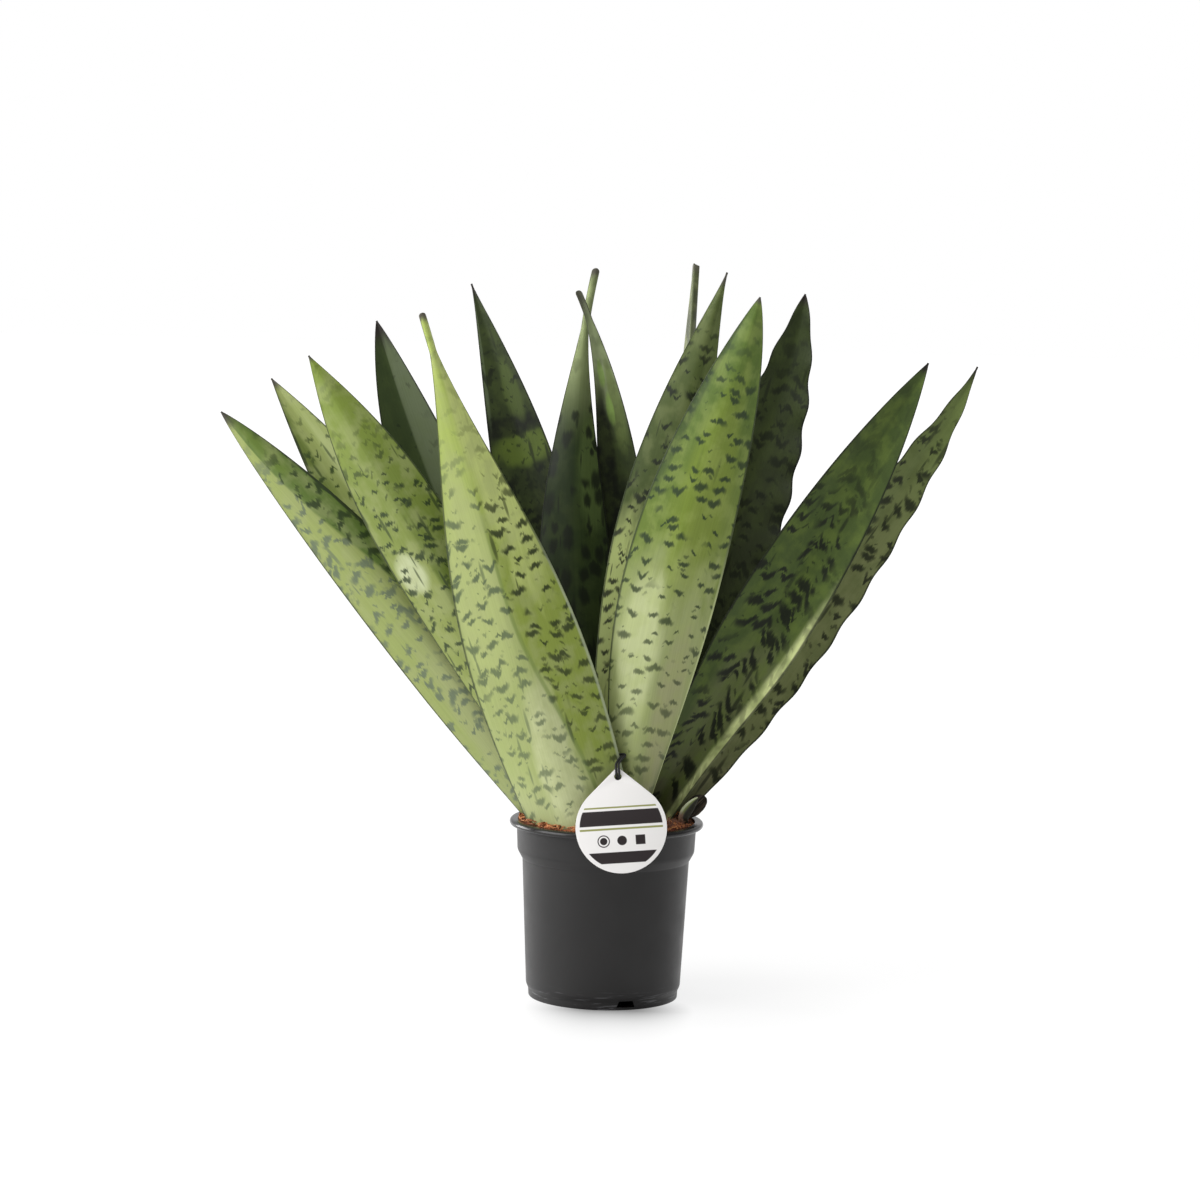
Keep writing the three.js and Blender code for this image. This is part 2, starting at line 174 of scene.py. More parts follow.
paper, add = new_material("white_paper_sweep_matt")
spot = add("TexCoord").outputs["Object"]
x, y = add("SeparateXYZ", spot).outputs[:2]
beside = add("MapRange SMOOTHSTEP", add("Math ABSOLUTE", add("Math SUBTRACT", x, 0.006)), 0.07, 0.012)
fading = add("Math EXPONENT", add("Math DIVIDE", add("Math ADD", y, FOOT_RADIUS), CONTACT_FADE))
in_front = add("Math MINIMUM", fading, 1.0)
before_pot = add("MapRange SMOOTHSTEP", y, 0.0, -0.05, 0.0, CONTACT_DEPTH)
contact = add("Math MULTIPLY", add("Math MULTIPLY", beside, in_front), before_pot)
to_shade = add("VectorMath SUBTRACT", spot, SHADE_MIDDLE)
from_shade = add("VectorMath LENGTH", to_shade).outputs["Value"]
shade = add("MapRange SMOOTHSTEP", from_shade, 0.17, 0.03, 0.0, SHADE_DEPTH)
from_pot = add("VectorMath LENGTH", spot).outputs["Value"]
distant = add("MapRange SMOOTHSTEP", from_pot, 0.4, 2.0, GLOW_NEAR, GLOW_FAR)
glow = add("Math SUBTRACT", distant, add("Math MAXIMUM", contact, shade))
finish_material(add, Base_Color=linear("#646464"), Roughness=0.9, Emission_Color=linear("#FFFFFF"),
                Emission_Strength=glow)

bpy.ops.mesh.primitive_plane_add(size=FLOOR_WIDTH)
floor = bpy.context.object
floor.name = "floor"
floor.data.materials.append(paper)
print("floor in m:", FLOOR_WIDTH)

# %% [markdown]
# Three soft boxes light the plant. The key is wide and stands on the left, so that left-hand faces are
# bright, the right-hand shoot is darker and a faint shadow falls to the right. A second one hangs above
# the front. The third is small and stands low at the back on the left, where it draws a light edge down
# the pot. The picture is shown as it is, with no film curve, because the greens were matched that way.


# %% Hang the lights
def soft_box(name, place, target, width, watts):
    """A square soft box that faces a point."""
    light = bpy.data.lights.new(name, "AREA")
    light.size = width
    light.energy = watts
    lamp = bpy.data.objects.new(name, light)
    lamp.location = place
    lamp.rotation_euler = (Vector(target) - Vector(place)).to_track_quat("-Z", "Y").to_euler()
    bpy.context.scene.collection.objects.link(lamp)


soft_box("key", (-2.45, -0.95, 1.15), (0, 0, 0.28), 2.0, 72)
soft_box("overhead", (-0.4, -0.9, 2.4), (0, 0, 0.2), 1.6, 30)
soft_box("edge", (-1.7, 0.9, 0.35), (0, 0, 0.1), 0.9, 22)
bpy.context.scene.view_settings.view_transform = "Standard"

# %% [markdown]
# ## Meshes from grids
# Nearly every piece is a surface that two numbers run over: along and round. Points on such a grid are
# worked out with NumPy and joined with quads. The last column meets the first, and each end gets a cap, so
# that the piece is a closed body.


# %% Four helpers for every mesh
MM = 0.001


def grid_faces(rows, columns, start=0):
    """Quads over a grid that closes round, and its two caps. start is the number of its first point."""
    index = np.arange(rows * columns).reshape(rows, columns) + start
    beside = np.roll(index, -1, 1)
    quads = np.stack([index[:-1], beside[:-1], beside[1:], index[1:]], -1).reshape(-1, 4)
    return [*quads.tolist(), index[0, ::-1].tolist(), index[-1].tolist()]


def new_mesh(name, points, faces):
    """A mesh from points in mm."""
    mesh = bpy.data.meshes.new(name)
    mesh.from_pydata((points.reshape(-1, 3) * MM).tolist(), [], faces)
    mesh.update()
    return mesh


def show(name, mesh, material, node_names):
    """Puts a mesh in the scene as the piece that stands for some CAD nodes."""
    mesh.shade_smooth()
    mesh.materials.append(material)
    piece = bpy.data.objects.new(name, mesh)
    bpy.context.scene.collection.objects.link(piece)
    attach(piece, "root")
    if node_names:
        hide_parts(*node_names)
    return piece


def keep(mesh, name, values):
    """Stores a vector at each vertex, for a material to read."""
    attribute = mesh.attributes.new(name, "FLOAT_VECTOR", "POINT")
    attribute.data.foreach_set("vector", np.ascontiguousarray(values, np.float32).ravel())


# %% [markdown]
# ## The leaves
# Each leaf of this plant is a thick, stiff blade, channelled on its inner side and keeled on its outer
# side. Its middle line is a gentle curve, so a quadratic Bezier from the coir to the tip is enough. The
# blade's breadth, its V-shaped fold, the curl of its margins and its thickness change along that line.
#
# The leaves are typed in as a table. Lengths are in mm, and shares run from 0 to 1.
#
# - foot and tip are the ends of the middle line, bow pushes its middle aside, and hook bends the tip.
# - width is the greatest breadth, widest its share of the way up, and base the breadth at the coir as a
#   share of it. swell shapes the way up to it; full and point shape the way on to the tip.
# - face is the heading of the hollow side in degrees, at the foot and at the tip.
# - fold is the depth of the V, curl the rise of the margins at the foot and at the top, and wave the
#   ripple of a margin.
# - thick is the thickness of the middle, tip_thick what the top has more, and root the length in the coir.
# - blunt is the radius of a round tip, and closing how late the blade gets thin at its end.

# %% Describe the leaves
LEAF_LEVEL = 133
LEAF = dict(
    hook=0, widest=0.42, swell=1, point=0.9, full=2, fold=0.25, curl=(0.25, 0.05), wave=0, thick=5,
    root=14, blunt=0, closing=14, tip_thick=0,
)
LEAVES = {
    "leaf_01": dict(foot=(-38, -3), tip=(-280, -25, 419), bow=(20, 0), width=55, base=0.72, widest=0.35,
                    point=0.85, face=(85, 90)),
    "leaf_02": dict(foot=(-40, 23), tip=(-251, 45, 440), bow=(10, 0), width=60, base=0.5, widest=0.45,
                    point=1, face=(275, 265), curl=(0.2, 0.05)),
    "leaf_03": dict(foot=(-18, -31), tip=(-217, -44, 461), bow=(-1, 4), width=56, base=0.54, widest=0.6,
                    point=1.05, face=(78, 90)),
    "leaf_04": dict(foot=(-10, 36), tip=(-178, 90, 482), bow=(-30, 4), width=60, base=0.46, widest=0.45,
                    face=(275, 265), curl=(0.2, 0.05)),
    "leaf_05": dict(foot=(-24, -49), tip=(-136, -84.4, 494), bow=(0, 0), width=87, base=0.9, widest=0.25,
                    point=1.8, face=(72, 102), curl=(0.3, 0.05), blunt=2.2, closing=60),
    "leaf_06": dict(foot=(-20, 49), tip=(-110, 125, 510), bow=(24, 0), width=54, base=0.5, widest=0.45,
                    point=1.2, face=(275, 265), curl=(0.2, 0.05)),
    "leaf_07": dict(foot=(-5, 10), tip=(-17, 100, 524), bow=(-34, -14), hook=-2, width=52, base=0.46,
                    widest=0.4, point=2.2, face=(90, 90), blunt=2.5, closing=60),
    "leaf_08": dict(foot=(11, 49), tip=(-30, 72, 508), bow=(34, 30), hook=4.5, width=38, base=0.58,
                    widest=0.4, point=1.3, face=(275, 265), curl=(0.2, 0.05), blunt=2.1, closing=60),
    "leaf_09": dict(foot=(37, 44), tip=(56, 169.5, 528), bow=(0, 0), width=42, base=0.3, widest=0.4,
                    point=1, face=(200, 190), fold=0.12, curl=(0.2, 0.02), thick=4, blunt=2.2,
                    closing=250, tip_thick=3.2),
    "leaf_10": dict(foot=(11, -16), tip=(77, 5, 525), bow=(-30, 0), width=60, base=0.56, widest=0.45,
                    point=1.25, face=(90, 85)),
    "leaf_11": dict(foot=(17, -33), tip=(98, -75, 510), bow=(-26, 0), hook=3, width=68, base=0.28,
                    widest=0.46, point=0.88, face=(98, 85), curl=(0.3, 0.05)),
    "leaf_12": dict(foot=(26, 33), tip=(137, 85, 509), bow=(8, 0), hook=3, width=62, base=0.4,
                    widest=0.45, point=0.85, face=(275, 270), curl=(0.2, 0.05), wave=2),
    "leaf_13": dict(foot=(30, 10), tip=(222, -2, 464), bow=(1, 0), width=59, base=0.54, swell=1.8,
                    point=0.95, full=2.2, face=(270, 275), curl=(0.25, 0.1)),
    "leaf_14": dict(foot=(46, 23), tip=(262, 50, 460), bow=(4, 0), hook=4, width=48, base=0.42,
                    widest=0.4, point=1.1, face=(280, 285), curl=(0.2, 0.05), wave=1.2),
    "leaf_stub": dict(foot=(54.5, -9), tip=(65.5, -7, 147.5), bow=(-3.5, 0), width=7.4, base=0.85,
                      widest=0.35, point=0.8, face=(285, 300), fold=0.1, curl=(0.75, 0.55), thick=2.2,
                      root=9),
    "dry_sheath": dict(foot=(58.5, 8), tip=(71.5, 6, 146), bow=(0.5, 0), width=13, base=0.55, widest=0.45,
                       point=0.5, face=(228, 228), curl=(0.3, 0.2), thick=1.6, root=7),
}
print("leaves:", len(LEAVES))

# %% [markdown]
# One function gives the points of a blade. The heading of its hollow side is kept square to the middle
# line. The V fold and the curl of the margins lift the sheet towards it, and the thickness goes the other
# way, to the keeled side. Two of the leaves have rippled margins, as the plant gets when it grows fast:
# the ripple lifts the margin and also pushes it in and out, so that it shows from the front.

# %% Work out a blade
TIP_TAPER, TIP_SHARE, LEAST_TIP = 9, 0.3, 1.3
HOOK_REACH = 15
WAVE_LENGTH = 33
TIP_THINNER, EDGE_THINNER = 0.62, 0.78
LEAST_MIDDLE, LEAST_THICK = 0.9, 0.7


def unit(v):
    """Arrows of the same headings and a length of 1."""
    return v / np.linalg.norm(v, axis=-1, keepdims=True)


def half_breadth(leaf, s):
    """Swells from the base to the widest place, then closes to the tip."""
    along = np.clip(s, 0, 1)
    rising = np.clip(along / leaf["widest"], 0, 1) ** leaf["swell"]
    swelling = leaf["base"] + (1 - leaf["base"]) * np.sin(np.pi / 2 * rising)
    beyond = np.clip((along - leaf["widest"]) / (1 - leaf["widest"]), 0, 1)
    closing = np.maximum(1 - beyond ** leaf["full"], 1e-6) ** leaf["point"]
    to_tip = (1 - along) * (leaf["tip"][2] - LEAF_LEVEL)
    if leaf["blunt"]:
        least = leaf["blunt"] * np.sqrt(1 - np.clip(1 - to_tip / leaf["blunt"], 0, 0.97) ** 2)
    else:
        least = LEAST_TIP * np.clip(to_tip / TIP_TAPER, TIP_SHARE, 1)
    return np.maximum(leaf["width"] / 2 * np.where(along < leaf["widest"], swelling, closing), least)


def blade_sheet(leaf, s, u, depth_share):
    """Points of a blade in mm. s: 0 at the coir, 1 at the tip. u: -1 to 1 across. depth_share: 0 is the
    hollow side, 1 the keeled side. s and u are arrays of one shape."""
    foot = np.array([*leaf["foot"], LEAF_LEVEL], float)
    tip = np.array(leaf["tip"], float)
    middle = (foot + tip) / 2 + [*leaf["bow"], 0]
    along = np.clip(s, 0, 1)
    t = s[..., None]
    centre = (1 - t) ** 2 * foot + 2 * t * (1 - t) * middle + t ** 2 * tip
    centre[..., 0] += leaf["hook"] * HOOK_REACH * along ** 5 * (1 - along)
    ahead = unit((middle - foot) * (1 - t) + (tip - middle) * t)
    heading = np.radians(leaf["face"][0] + (leaf["face"][1] - leaf["face"][0]) * along)
    hollow = np.stack([np.cos(heading), np.sin(heading), 0 * heading], -1)
    hollow = unit(hollow - (hollow * ahead).sum(-1, keepdims=True) * ahead)
    across = np.cross(ahead, hollow)
    length = tip[2] - LEAF_LEVEL
    half = half_breadth(leaf, s)
    low, high = leaf["curl"]
    curl = low + (high - low) * (1 - (1 - np.clip(along / 0.5, 0, 1)) ** 2)
    rise = half * (leaf["fold"] * (np.hypot(u, 0.1) - 0.1) + curl * u * u)
    slope = leaf["fold"] * np.sign(u) * np.minimum(np.abs(u) * 5, 1) + 2 * curl * u
    fade = np.clip(4 * s, 0, 1) * np.clip(6 * (1 - s), 0, 1)
    ripple = leaf["wave"] * np.sin(2 * np.pi * s * length / WAVE_LENGTH + 1) * u ** 3 * fade
    rise = rise + ripple
    normal = unit(hollow - across * slope[..., None])
    at_top = np.clip((along - 0.6) / 0.2, 0, 1)
    stout = leaf["thick"] * (1 - TIP_THINNER * along) + leaf["tip_thick"] * at_top
    thick = np.maximum(stout * (1 - EDGE_THINNER * u * u), LEAST_MIDDLE)
    closing = np.clip((1 - along) * leaf["closing"], 0.25, 1)
    depth = np.maximum(thick * closing, LEAST_THICK) * depth_share
    sideways = half * u + 0.5 * ripple
    return centre + across * sideways[..., None] + hollow * rise[..., None] - normal * depth[..., None]


# %% [markdown]
# The mesh has two such sheets, the hollow side and the keeled side. Its columns run across one sheet and
# back across the other, with one more column in the middle of each margin, so the margin is round and
# catches the light as a thin line. The rows stand closer together near the tip.


# %% Close a blade
MARGIN_ROUND = 0.25
EVEN_ROWS_END, CROWDING = 8, 0.9
ROWS_NEAR_TIP = np.array([5, 3.5, 2.4, 1.6, 1, 0.6, 0.3, 0.12, 0])


def blade_mesh(name, leaf, rows=150, columns=30):
    """The closed blade, with its places across and along kept in mm and as shares of the blade."""
    length = leaf["tip"][2] - LEAF_LEVEL
    near_tip = 1 - ROWS_NEAR_TIP / length
    s = np.concatenate([[-leaf["root"] / length], np.linspace(0, 1 - EVEN_ROWS_END / length, rows), near_tip])
    quarter = np.pi / 2 * CROWDING
    u = np.sin(np.linspace(-1, 1, columns) * quarter) / math.sin(quarter)
    u = np.concatenate([[-1], u, [1], u[::-1]])
    side = np.concatenate([[0.5], np.zeros(columns), [0.5], np.ones(columns)])
    s_grid, u_grid = np.meshgrid(s, u, indexing="ij")
    side_grid = np.broadcast_to(side, s_grid.shape)
    points = blade_sheet(leaf, s_grid, u_grid, side_grid)
    edge = side_grid == 0.5
    outward = unit(points - blade_sheet(leaf, s_grid, u_grid * 0.98, side_grid))
    points[edge] += outward[edge] * MARGIN_ROUND
    mesh = new_mesh(name, points[:, ::-1], grid_faces(*points.shape[:2]))
    half = half_breadth(leaf, s_grid)
    flip = (slice(None), slice(None, None, -1))
    keep(mesh, "blade_mm", np.stack([half * u_grid, s_grid * length, side_grid], -1)[flip].reshape(-1, 3))
    keep(mesh, "blade_share", np.stack([u_grid, s_grid, side_grid], -1)[flip].reshape(-1, 3))
    return mesh


# %% [markdown]
# ## The leaf skin
# A bowstring hemp leaf has a hard, waxy skin. Its green is paler and tan near the coir, and its two wings
# and its top often differ; here these greens also carry painted light and shade, paler where a wing faces
# the lamp and darker where it is turned away. Broken dark dashes, like birds in flight, run across it in
# loose rows. All of this is drawn in the blade's own millimetres, x across and y along, so it follows every
# curve.
#
# A Voronoi pattern gives one dash a cell, with its arms swept up or down, and a slow noise lets the dashes
# gather in some places and leave others bare. The names left and right are the wings as they are seen
# from the front.


# %% Make noise and dashes
GATHERED = (26, 34)


def spots(add, x, y, width, height, detail=1.0, rough=0.5):
    """Noise whose grains are this wide across the leaf and this high along it, in mm."""
    at = add("CombineXYZ", add("Math DIVIDE", x, width), add("Math DIVIDE", y, height))
    return add("TexNoise", noise_dimensions="2D", Vector=at, Scale=1, Detail=detail, Roughness=rough)


def dashes(add, x, y, moved, cell, dash, chance, soft, seed=0.0):
    """1 inside a dash and 0 outside. Each cell may hold one. moved is y as the fibres carry it, in mm."""
    row = add("Math DIVIDE", add("Math ADD", moved, seed), cell[1])
    at = add("CombineXYZ", add("Math DIVIDE", x, cell[0]), row)
    voronoi = add("TexVoronoi", voronoi_dimensions="2D", Vector=at, Scale=1, Randomness=0.8)
    away = add("SeparateXYZ", add("VectorMath SUBTRACT", at, voronoi.outputs["Position"])).outputs
    lot = add("SeparateColor", voronoi.outputs["Color"]).outputs
    dx = add("Math MULTIPLY", away[0], cell[0])
    swept = add("Math MULTIPLY", add("Math ABSOLUTE", dx), add("Math SUBTRACT", lot[1], 0.35))
    dy = add("Math SUBTRACT", add("Math MULTIPLY", away[1], cell[1]), swept)
    half_wide = add("Math MULTIPLY", add("Math ADD", lot[0], 0.5), dash[0] / 2)
    half_high = add("Math MULTIPLY", add("Math ADD", lot[0], 0.6), dash[1] / 2)
    ends = add("Math POWER", add("Math DIVIDE", dx, half_wide), 2.0)
    faces = add("Math POWER", add("Math DIVIDE", dy, half_high), 2.0)
    inside = add("MapRange SMOOTHSTEP", add("Math ADD", ends, faces), *soft)
    gathered = add("Math MULTIPLY", spots(add, x, y, *GATHERED), 2.0 * chance)
    drawn = add("MapRange SMOOTHSTEP", add("Math SUBTRACT", lot[2], gathered), 0.1, -0.12)
    return add("Math MULTIPLY", inside, drawn)


# %% [markdown]
# Under the dashes lies the ground colour. Each wing has its own green, partly painted light and shade.
# Towards the tip and the coir other greens take over, the top's also partly painted light. Soft patches
# lie on that, some of them painted highlights and painted shade, then paler flecks, and on one leaf a line
# along the keel.


# %% Colour the ground
def ground_colour(add, look, x, y, s, to_right, from_keel, right_wing):
    """The green of a leaf without its dashes. s runs from the coir to the tip."""
    # the two wings' greens are partly painted light and shade, paler on the wing turned to the lamp
    ground = add("Mix RGBA", right_wing, linear(look["left"]), linear(look["right"]))
    at_top = add("MapRange SMOOTHSTEP", s, *look["top_span"])
    ground = add("Mix RGBA", at_top, ground, linear(look["top"]))
    at_foot = add("MapRange SMOOTHSTEP", s, look["foot_end"], 0.0)
    ground = add("Mix RGBA", at_foot, ground, linear(look["foot"]))
    warp = add("Math MULTIPLY", add("Math SUBTRACT", spots(add, x, y, 9, 30, 3), 0.5), 0.5)
    # some patches are painted highlights and some are painted shade
    for colour, at_right, at_s, half_wide, half_long, strength in look["patches"]:
        aside = add("Math DIVIDE", add("Math SUBTRACT", to_right, at_right), half_wide)
        ahead = add("Math DIVIDE", add("Math SUBTRACT", s, at_s), half_long)
        beside, above = [add("Math POWER", add("Math ADD", way, warp), 2.0) for way in (aside, ahead)]
        in_patch = add("MapRange SMOOTHSTEP", add("Math ADD", beside, above), 1.3, 0.35, 0.0, strength)
        ground = add("Mix RGBA", in_patch, ground, linear(colour))
    flecks = add("MapRange SMOOTHSTEP", spots(add, x, y, 12, 15, 3), 0.38, 0.7)
    paler = add("Math MULTIPLY", flecks, look["mottle"])
    ground = add("Mix RGBA", paler, ground, linear(look["mottle_colour"]))
    line = add("MapRange SMOOTHSTEP", add("Math ABSOLUTE", from_keel), 0.05, 0.01)
    keel = add("Math MULTIPLY", line, add("MapRange SMOOTHSTEP", s, 0.65, 0.5, 0.0, look["keel"]))
    return add("Mix RGBA", keel, ground, linear(look["keel_colour"]))


# %% [markdown]
# Large birds, thin streaks along the fibres and small specks are all such dashes. The dark cells follow
# the fibres, so noise that is stretched along the leaf frays them. A wider noise sways the rows up and
# down, and they climb or fall towards the margins as a chevron. The marks pale near the tip and the coir.


# %% Gather the marks
SPECK_CELL, SPECK = (7.0, 5.5), (2.4, 1.5)
STREAK_SEED, SPECK_SEED = 71.0, 37.0


def leaf_marks(add, look, x, y, s, to_right, from_middle):
    """How dark the marks of a leaf are, from 0 to 1."""
    uneven = add("Math SUBTRACT", spots(add, x, y, 1.9, 18, 3, 0.6), 0.5)
    fray = add("Math MULTIPLY", uneven, look["fray"])
    swaying = add("Math SUBTRACT", spots(add, x, y, look["sweep"], 40), 0.5)
    zigzag = add("Math MULTIPLY", swaying, look["zigzag"])
    chevron = add("Math MULTIPLY", add("Math ABSOLUTE", from_middle), look["chevron"])
    moved = add("Math ADD", add("Math ADD", y, chevron), add("Math ADD", fray, zigzag))
    draw = partial(dashes, add, x, y, moved, soft=look["soft"])
    birds = draw(look["cell"], look["dash"], look["chance"])
    streaks = draw(look["streak_cell"], look["streak"], look["streak_chance"], seed=STREAK_SEED)
    specks = draw(SPECK_CELL, SPECK, look["speck_chance"], seed=SPECK_SEED)
    small = add("Math MAXIMUM", add("Math MULTIPLY", streaks, 0.8), add("Math MULTIPLY", specks, 0.7))
    near_tip = add("MapRange SMOOTHSTEP", s, *look["mark_fade"], 1.0, 0.25)
    at_edge = add("MapRange SMOOTHSTEP", to_right, look["clear_edge"] - 0.2, look["clear_edge"], 1.0, 0.4)
    near_coir = add("MapRange SMOOTHSTEP", s, 0.1, 0.55, look["foot_marks"], 1.0)
    fading = add("Math MULTIPLY", add("Math MULTIPLY", near_tip, at_edge), near_coir)
    return add("Math MULTIPLY", add("Math MAXIMUM", birds, small), fading)


# %% [markdown]
# The skin is put together from these: the marks lie on the ground colour, and a fine grain lies on both.
# The margin is a thin line, and the last few millimetres of the tip are dry and ragged. Wax gives a soft
# sheen, so the roughness is about a half, and fine ribs along the leaf break it up.


# %% Make the leaf skin
# each leaf takes its own part of the patterns, this many mm further on than the last
LEAF_STEP = 211.0


def leaf_skin(name, number, leaf, look):
    """The banded skin of one leaf. Its colours, patches and dashes are in look."""
    skin, add = new_material(name)
    place = read_kept(add, "blade_mm")
    share = read_kept(add, "blade_share")
    x = add("Math ADD", place[0], LEAF_STEP * number)
    y, s = place[1], share[1]
    keeled_side_in_front = math.sin(math.radians(leaf["face"][0])) > 0
    to_right = add("Math MULTIPLY", share[0], -1.0 if keeled_side_in_front else 1.0)
    keel_place = add("MapRange SMOOTHSTEP", s, *look["keel_span"], *look["keel_place"])
    from_keel = add("Math SUBTRACT", to_right, keel_place)
    right_wing = add("MapRange SMOOTHSTEP", from_keel, -0.05, 0.05)
    ground = ground_colour(add, look, x, y, s, to_right, from_keel, right_wing)

    marks = leaf_marks(add, look, x, y, s, to_right, place[0])
    # on the wing that faces the lamp the dashes are greyer on some leaves, partly a painted sheen
    mark_colour = add("Mix RGBA", right_wing, linear(look["left_mark"]), linear(look["right_mark"]))
    marked = add("Mix RGBA", add("Math MULTIPLY", marks, look["strength"]), ground, mark_colour)
    grain = add("MapRange SMOOTHSTEP", spots(add, x, y, 0.9, 60, 2), 0.3, 0.7, 0.96, 1.03)
    grained = add("Mix RGBA", 1.0, marked, grain, blend_type="MULTIPLY")

    # the lower part of the right margin has its own colour. On some leaves it is pale, a painted highlight
    # where the round margin catches the lamp.
    to_edge = add("Math ABSOLUTE", share[0])
    margin = add("MapRange SMOOTHSTEP", to_edge, 0.945, 0.98, 0.0, look["margin_strength"])
    low_right = add("Math MULTIPLY", right_wing, add("MapRange SMOOTHSTEP", s, 0.6, 0.4))
    margin_colour = add("Mix RGBA", low_right, linear(look["margin"]), linear(look["right_margin"]))
    edged = add("Mix RGBA", margin, grained, margin_colour)
    to_tip = add("Math MULTIPLY", add("Math SUBTRACT", 1.0, s), leaf["tip"][2] - LEAF_LEVEL)
    dry = look["dry"]
    ragged_tip = add("Math ADD", to_tip, add("Math MULTIPLY", spots(add, x, y, 3, 20, 2), 0.6 * dry))
    dried = add("MapRange SMOOTHSTEP", ragged_tip, 1.3 * dry, 0.5 * dry)
    done = add("Mix RGBA", dried, edged, linear(look["dry_colour"]))

    broad_ribs = add("Math MULTIPLY", spots(add, x, y, 12, 30, 1), 2.0)
    rib_height = add("Math ADD", spots(add, x, y, 1.1, 80, 1), broad_ribs)
    rough = add("MapRange SMOOTHSTEP", spots(add, x, y, 14, 40, 3), 0.3, 0.7, *look["rough"])
    finish_material(add, Base_Color=done, Roughness=rough, IOR=1.45, Specular_IOR_Level=look["gloss"],
                    Normal=add("Bump", Strength=0.25, Distance=0.0002, Height=rib_height))
    return skin


# %% [markdown]
# A few greens, named by what they look like on the plant, serve where several leaves share them. A look
# starts from one of two common skins, light or dark, and says only what differs. The dark one is for the
# leaves at the back and on the right, and its greens are partly painted shade. Places across run from -1
# at the left margin to 1 at the right one, and places along from 0 at the coir to 1 at the tip.
#
# - left, right, top and foot are the greens; those of the wings and the top are partly painted light and
#   shade. The top's takes over along top_span, and the foot's ends at foot_end.
# - left_mark and right_mark are the colours of the dashes, and strength how far they cover the ground.
#   On some leaves they are greyer on the wing that faces the lamp, partly a painted sheen.
# - cell and dash are the room and the size of a bird in mm, chance says how many cells hold one, and soft
#   how its edge fades. A second, slimmer kind is the streaks, and specks are the third.
# - fray and zigzag push the dashes along the leaf, by up to half as many mm. sweep is the breadth of one
#   swing in mm, and chevron how steeply the rows run to the margins.
# - mark_fade is where the dashes pale towards the tip, clear_edge where they pale to the right, and
#   foot_marks their strength at the coir.
# - keel is the strength of a line between the wings. Along keel_span it crosses from the first keel_place
#   to the second.
# - mottle is the strength of paler flecks, and dry the length of the dried tip in mm.
# - gloss and rough are the wax: how much it mirrors, and the least and greatest roughness.
# - A patch is a soft area of another green: its colour, its place across and along, its half width, half
#   length and strength. Some patches are painted highlights and some are painted shade.

# %% Name the greens and the two common skins
CREAM, PALE, SOFT, BRIGHT = "#B8BD91", "#979F6A", "#84904B", "#778938"
# the blackest green is painted shade, for the dark gaps and hollows among the leaves at the back
MOSS, OLIVE, DEEP, PAINTED_SHADE = "#5B6B2C", "#475426", "#2D371A", "#14180E"
TAN, STONE, UMBER = "#8B8768", "#484D36", "#4C4A33"
INK, PINE = "#10160A", "#2C3D1B"
SKIN = dict(
    left=SOFT, right=SOFT, top=MOSS, top_span=(0.5, 0.95), foot=TAN, foot_end=0.25,
    left_mark=PINE, right_mark=PINE, cell=(14.0, 10.5), dash=(8.0, 3.0), chance=0.95, strength=0.92,
    soft=(1.95, 0.2),
    streak_cell=(13.0, 26.0), streak=(1.6, 12.0), streak_chance=0.45, speck_chance=0.4,
    fray=6.5, sweep=9.0, zigzag=9.0, chevron=0.2, mark_fade=(0.8, 0.97), clear_edge=2.0, foot_marks=1.0,
    keel=0.0, keel_colour=BRIGHT, keel_place=(0.0, 0.0), keel_span=(0.0, 0.45),
    mottle=0.45, mottle_colour=PALE, margin="#2A351B", right_margin="#2A351B", margin_strength=0.8,
    gloss=0.4, rough=(0.38, 0.5), dry=8.0, dry_colour="#45423A",
    patches=(),
)
# the dark skin's greens are partly painted shade, for the leaves at the back and on the right
DARK_SHADED_SKIN = dict(
    SKIN, left=DEEP, right=DEEP, top=DEEP, foot=UMBER,
    left_mark=INK, right_mark=INK, dash=(10.5, 4.0), strength=0.88, soft=(2.1, 0.2),
    zigzag=11.0,
    mottle=0.35, mottle_colour=OLIVE, margin="#12160C", right_margin="#12160C",
    gloss=0.25, rough=(0.5, 0.62), dry_colour="#231F1B",
)

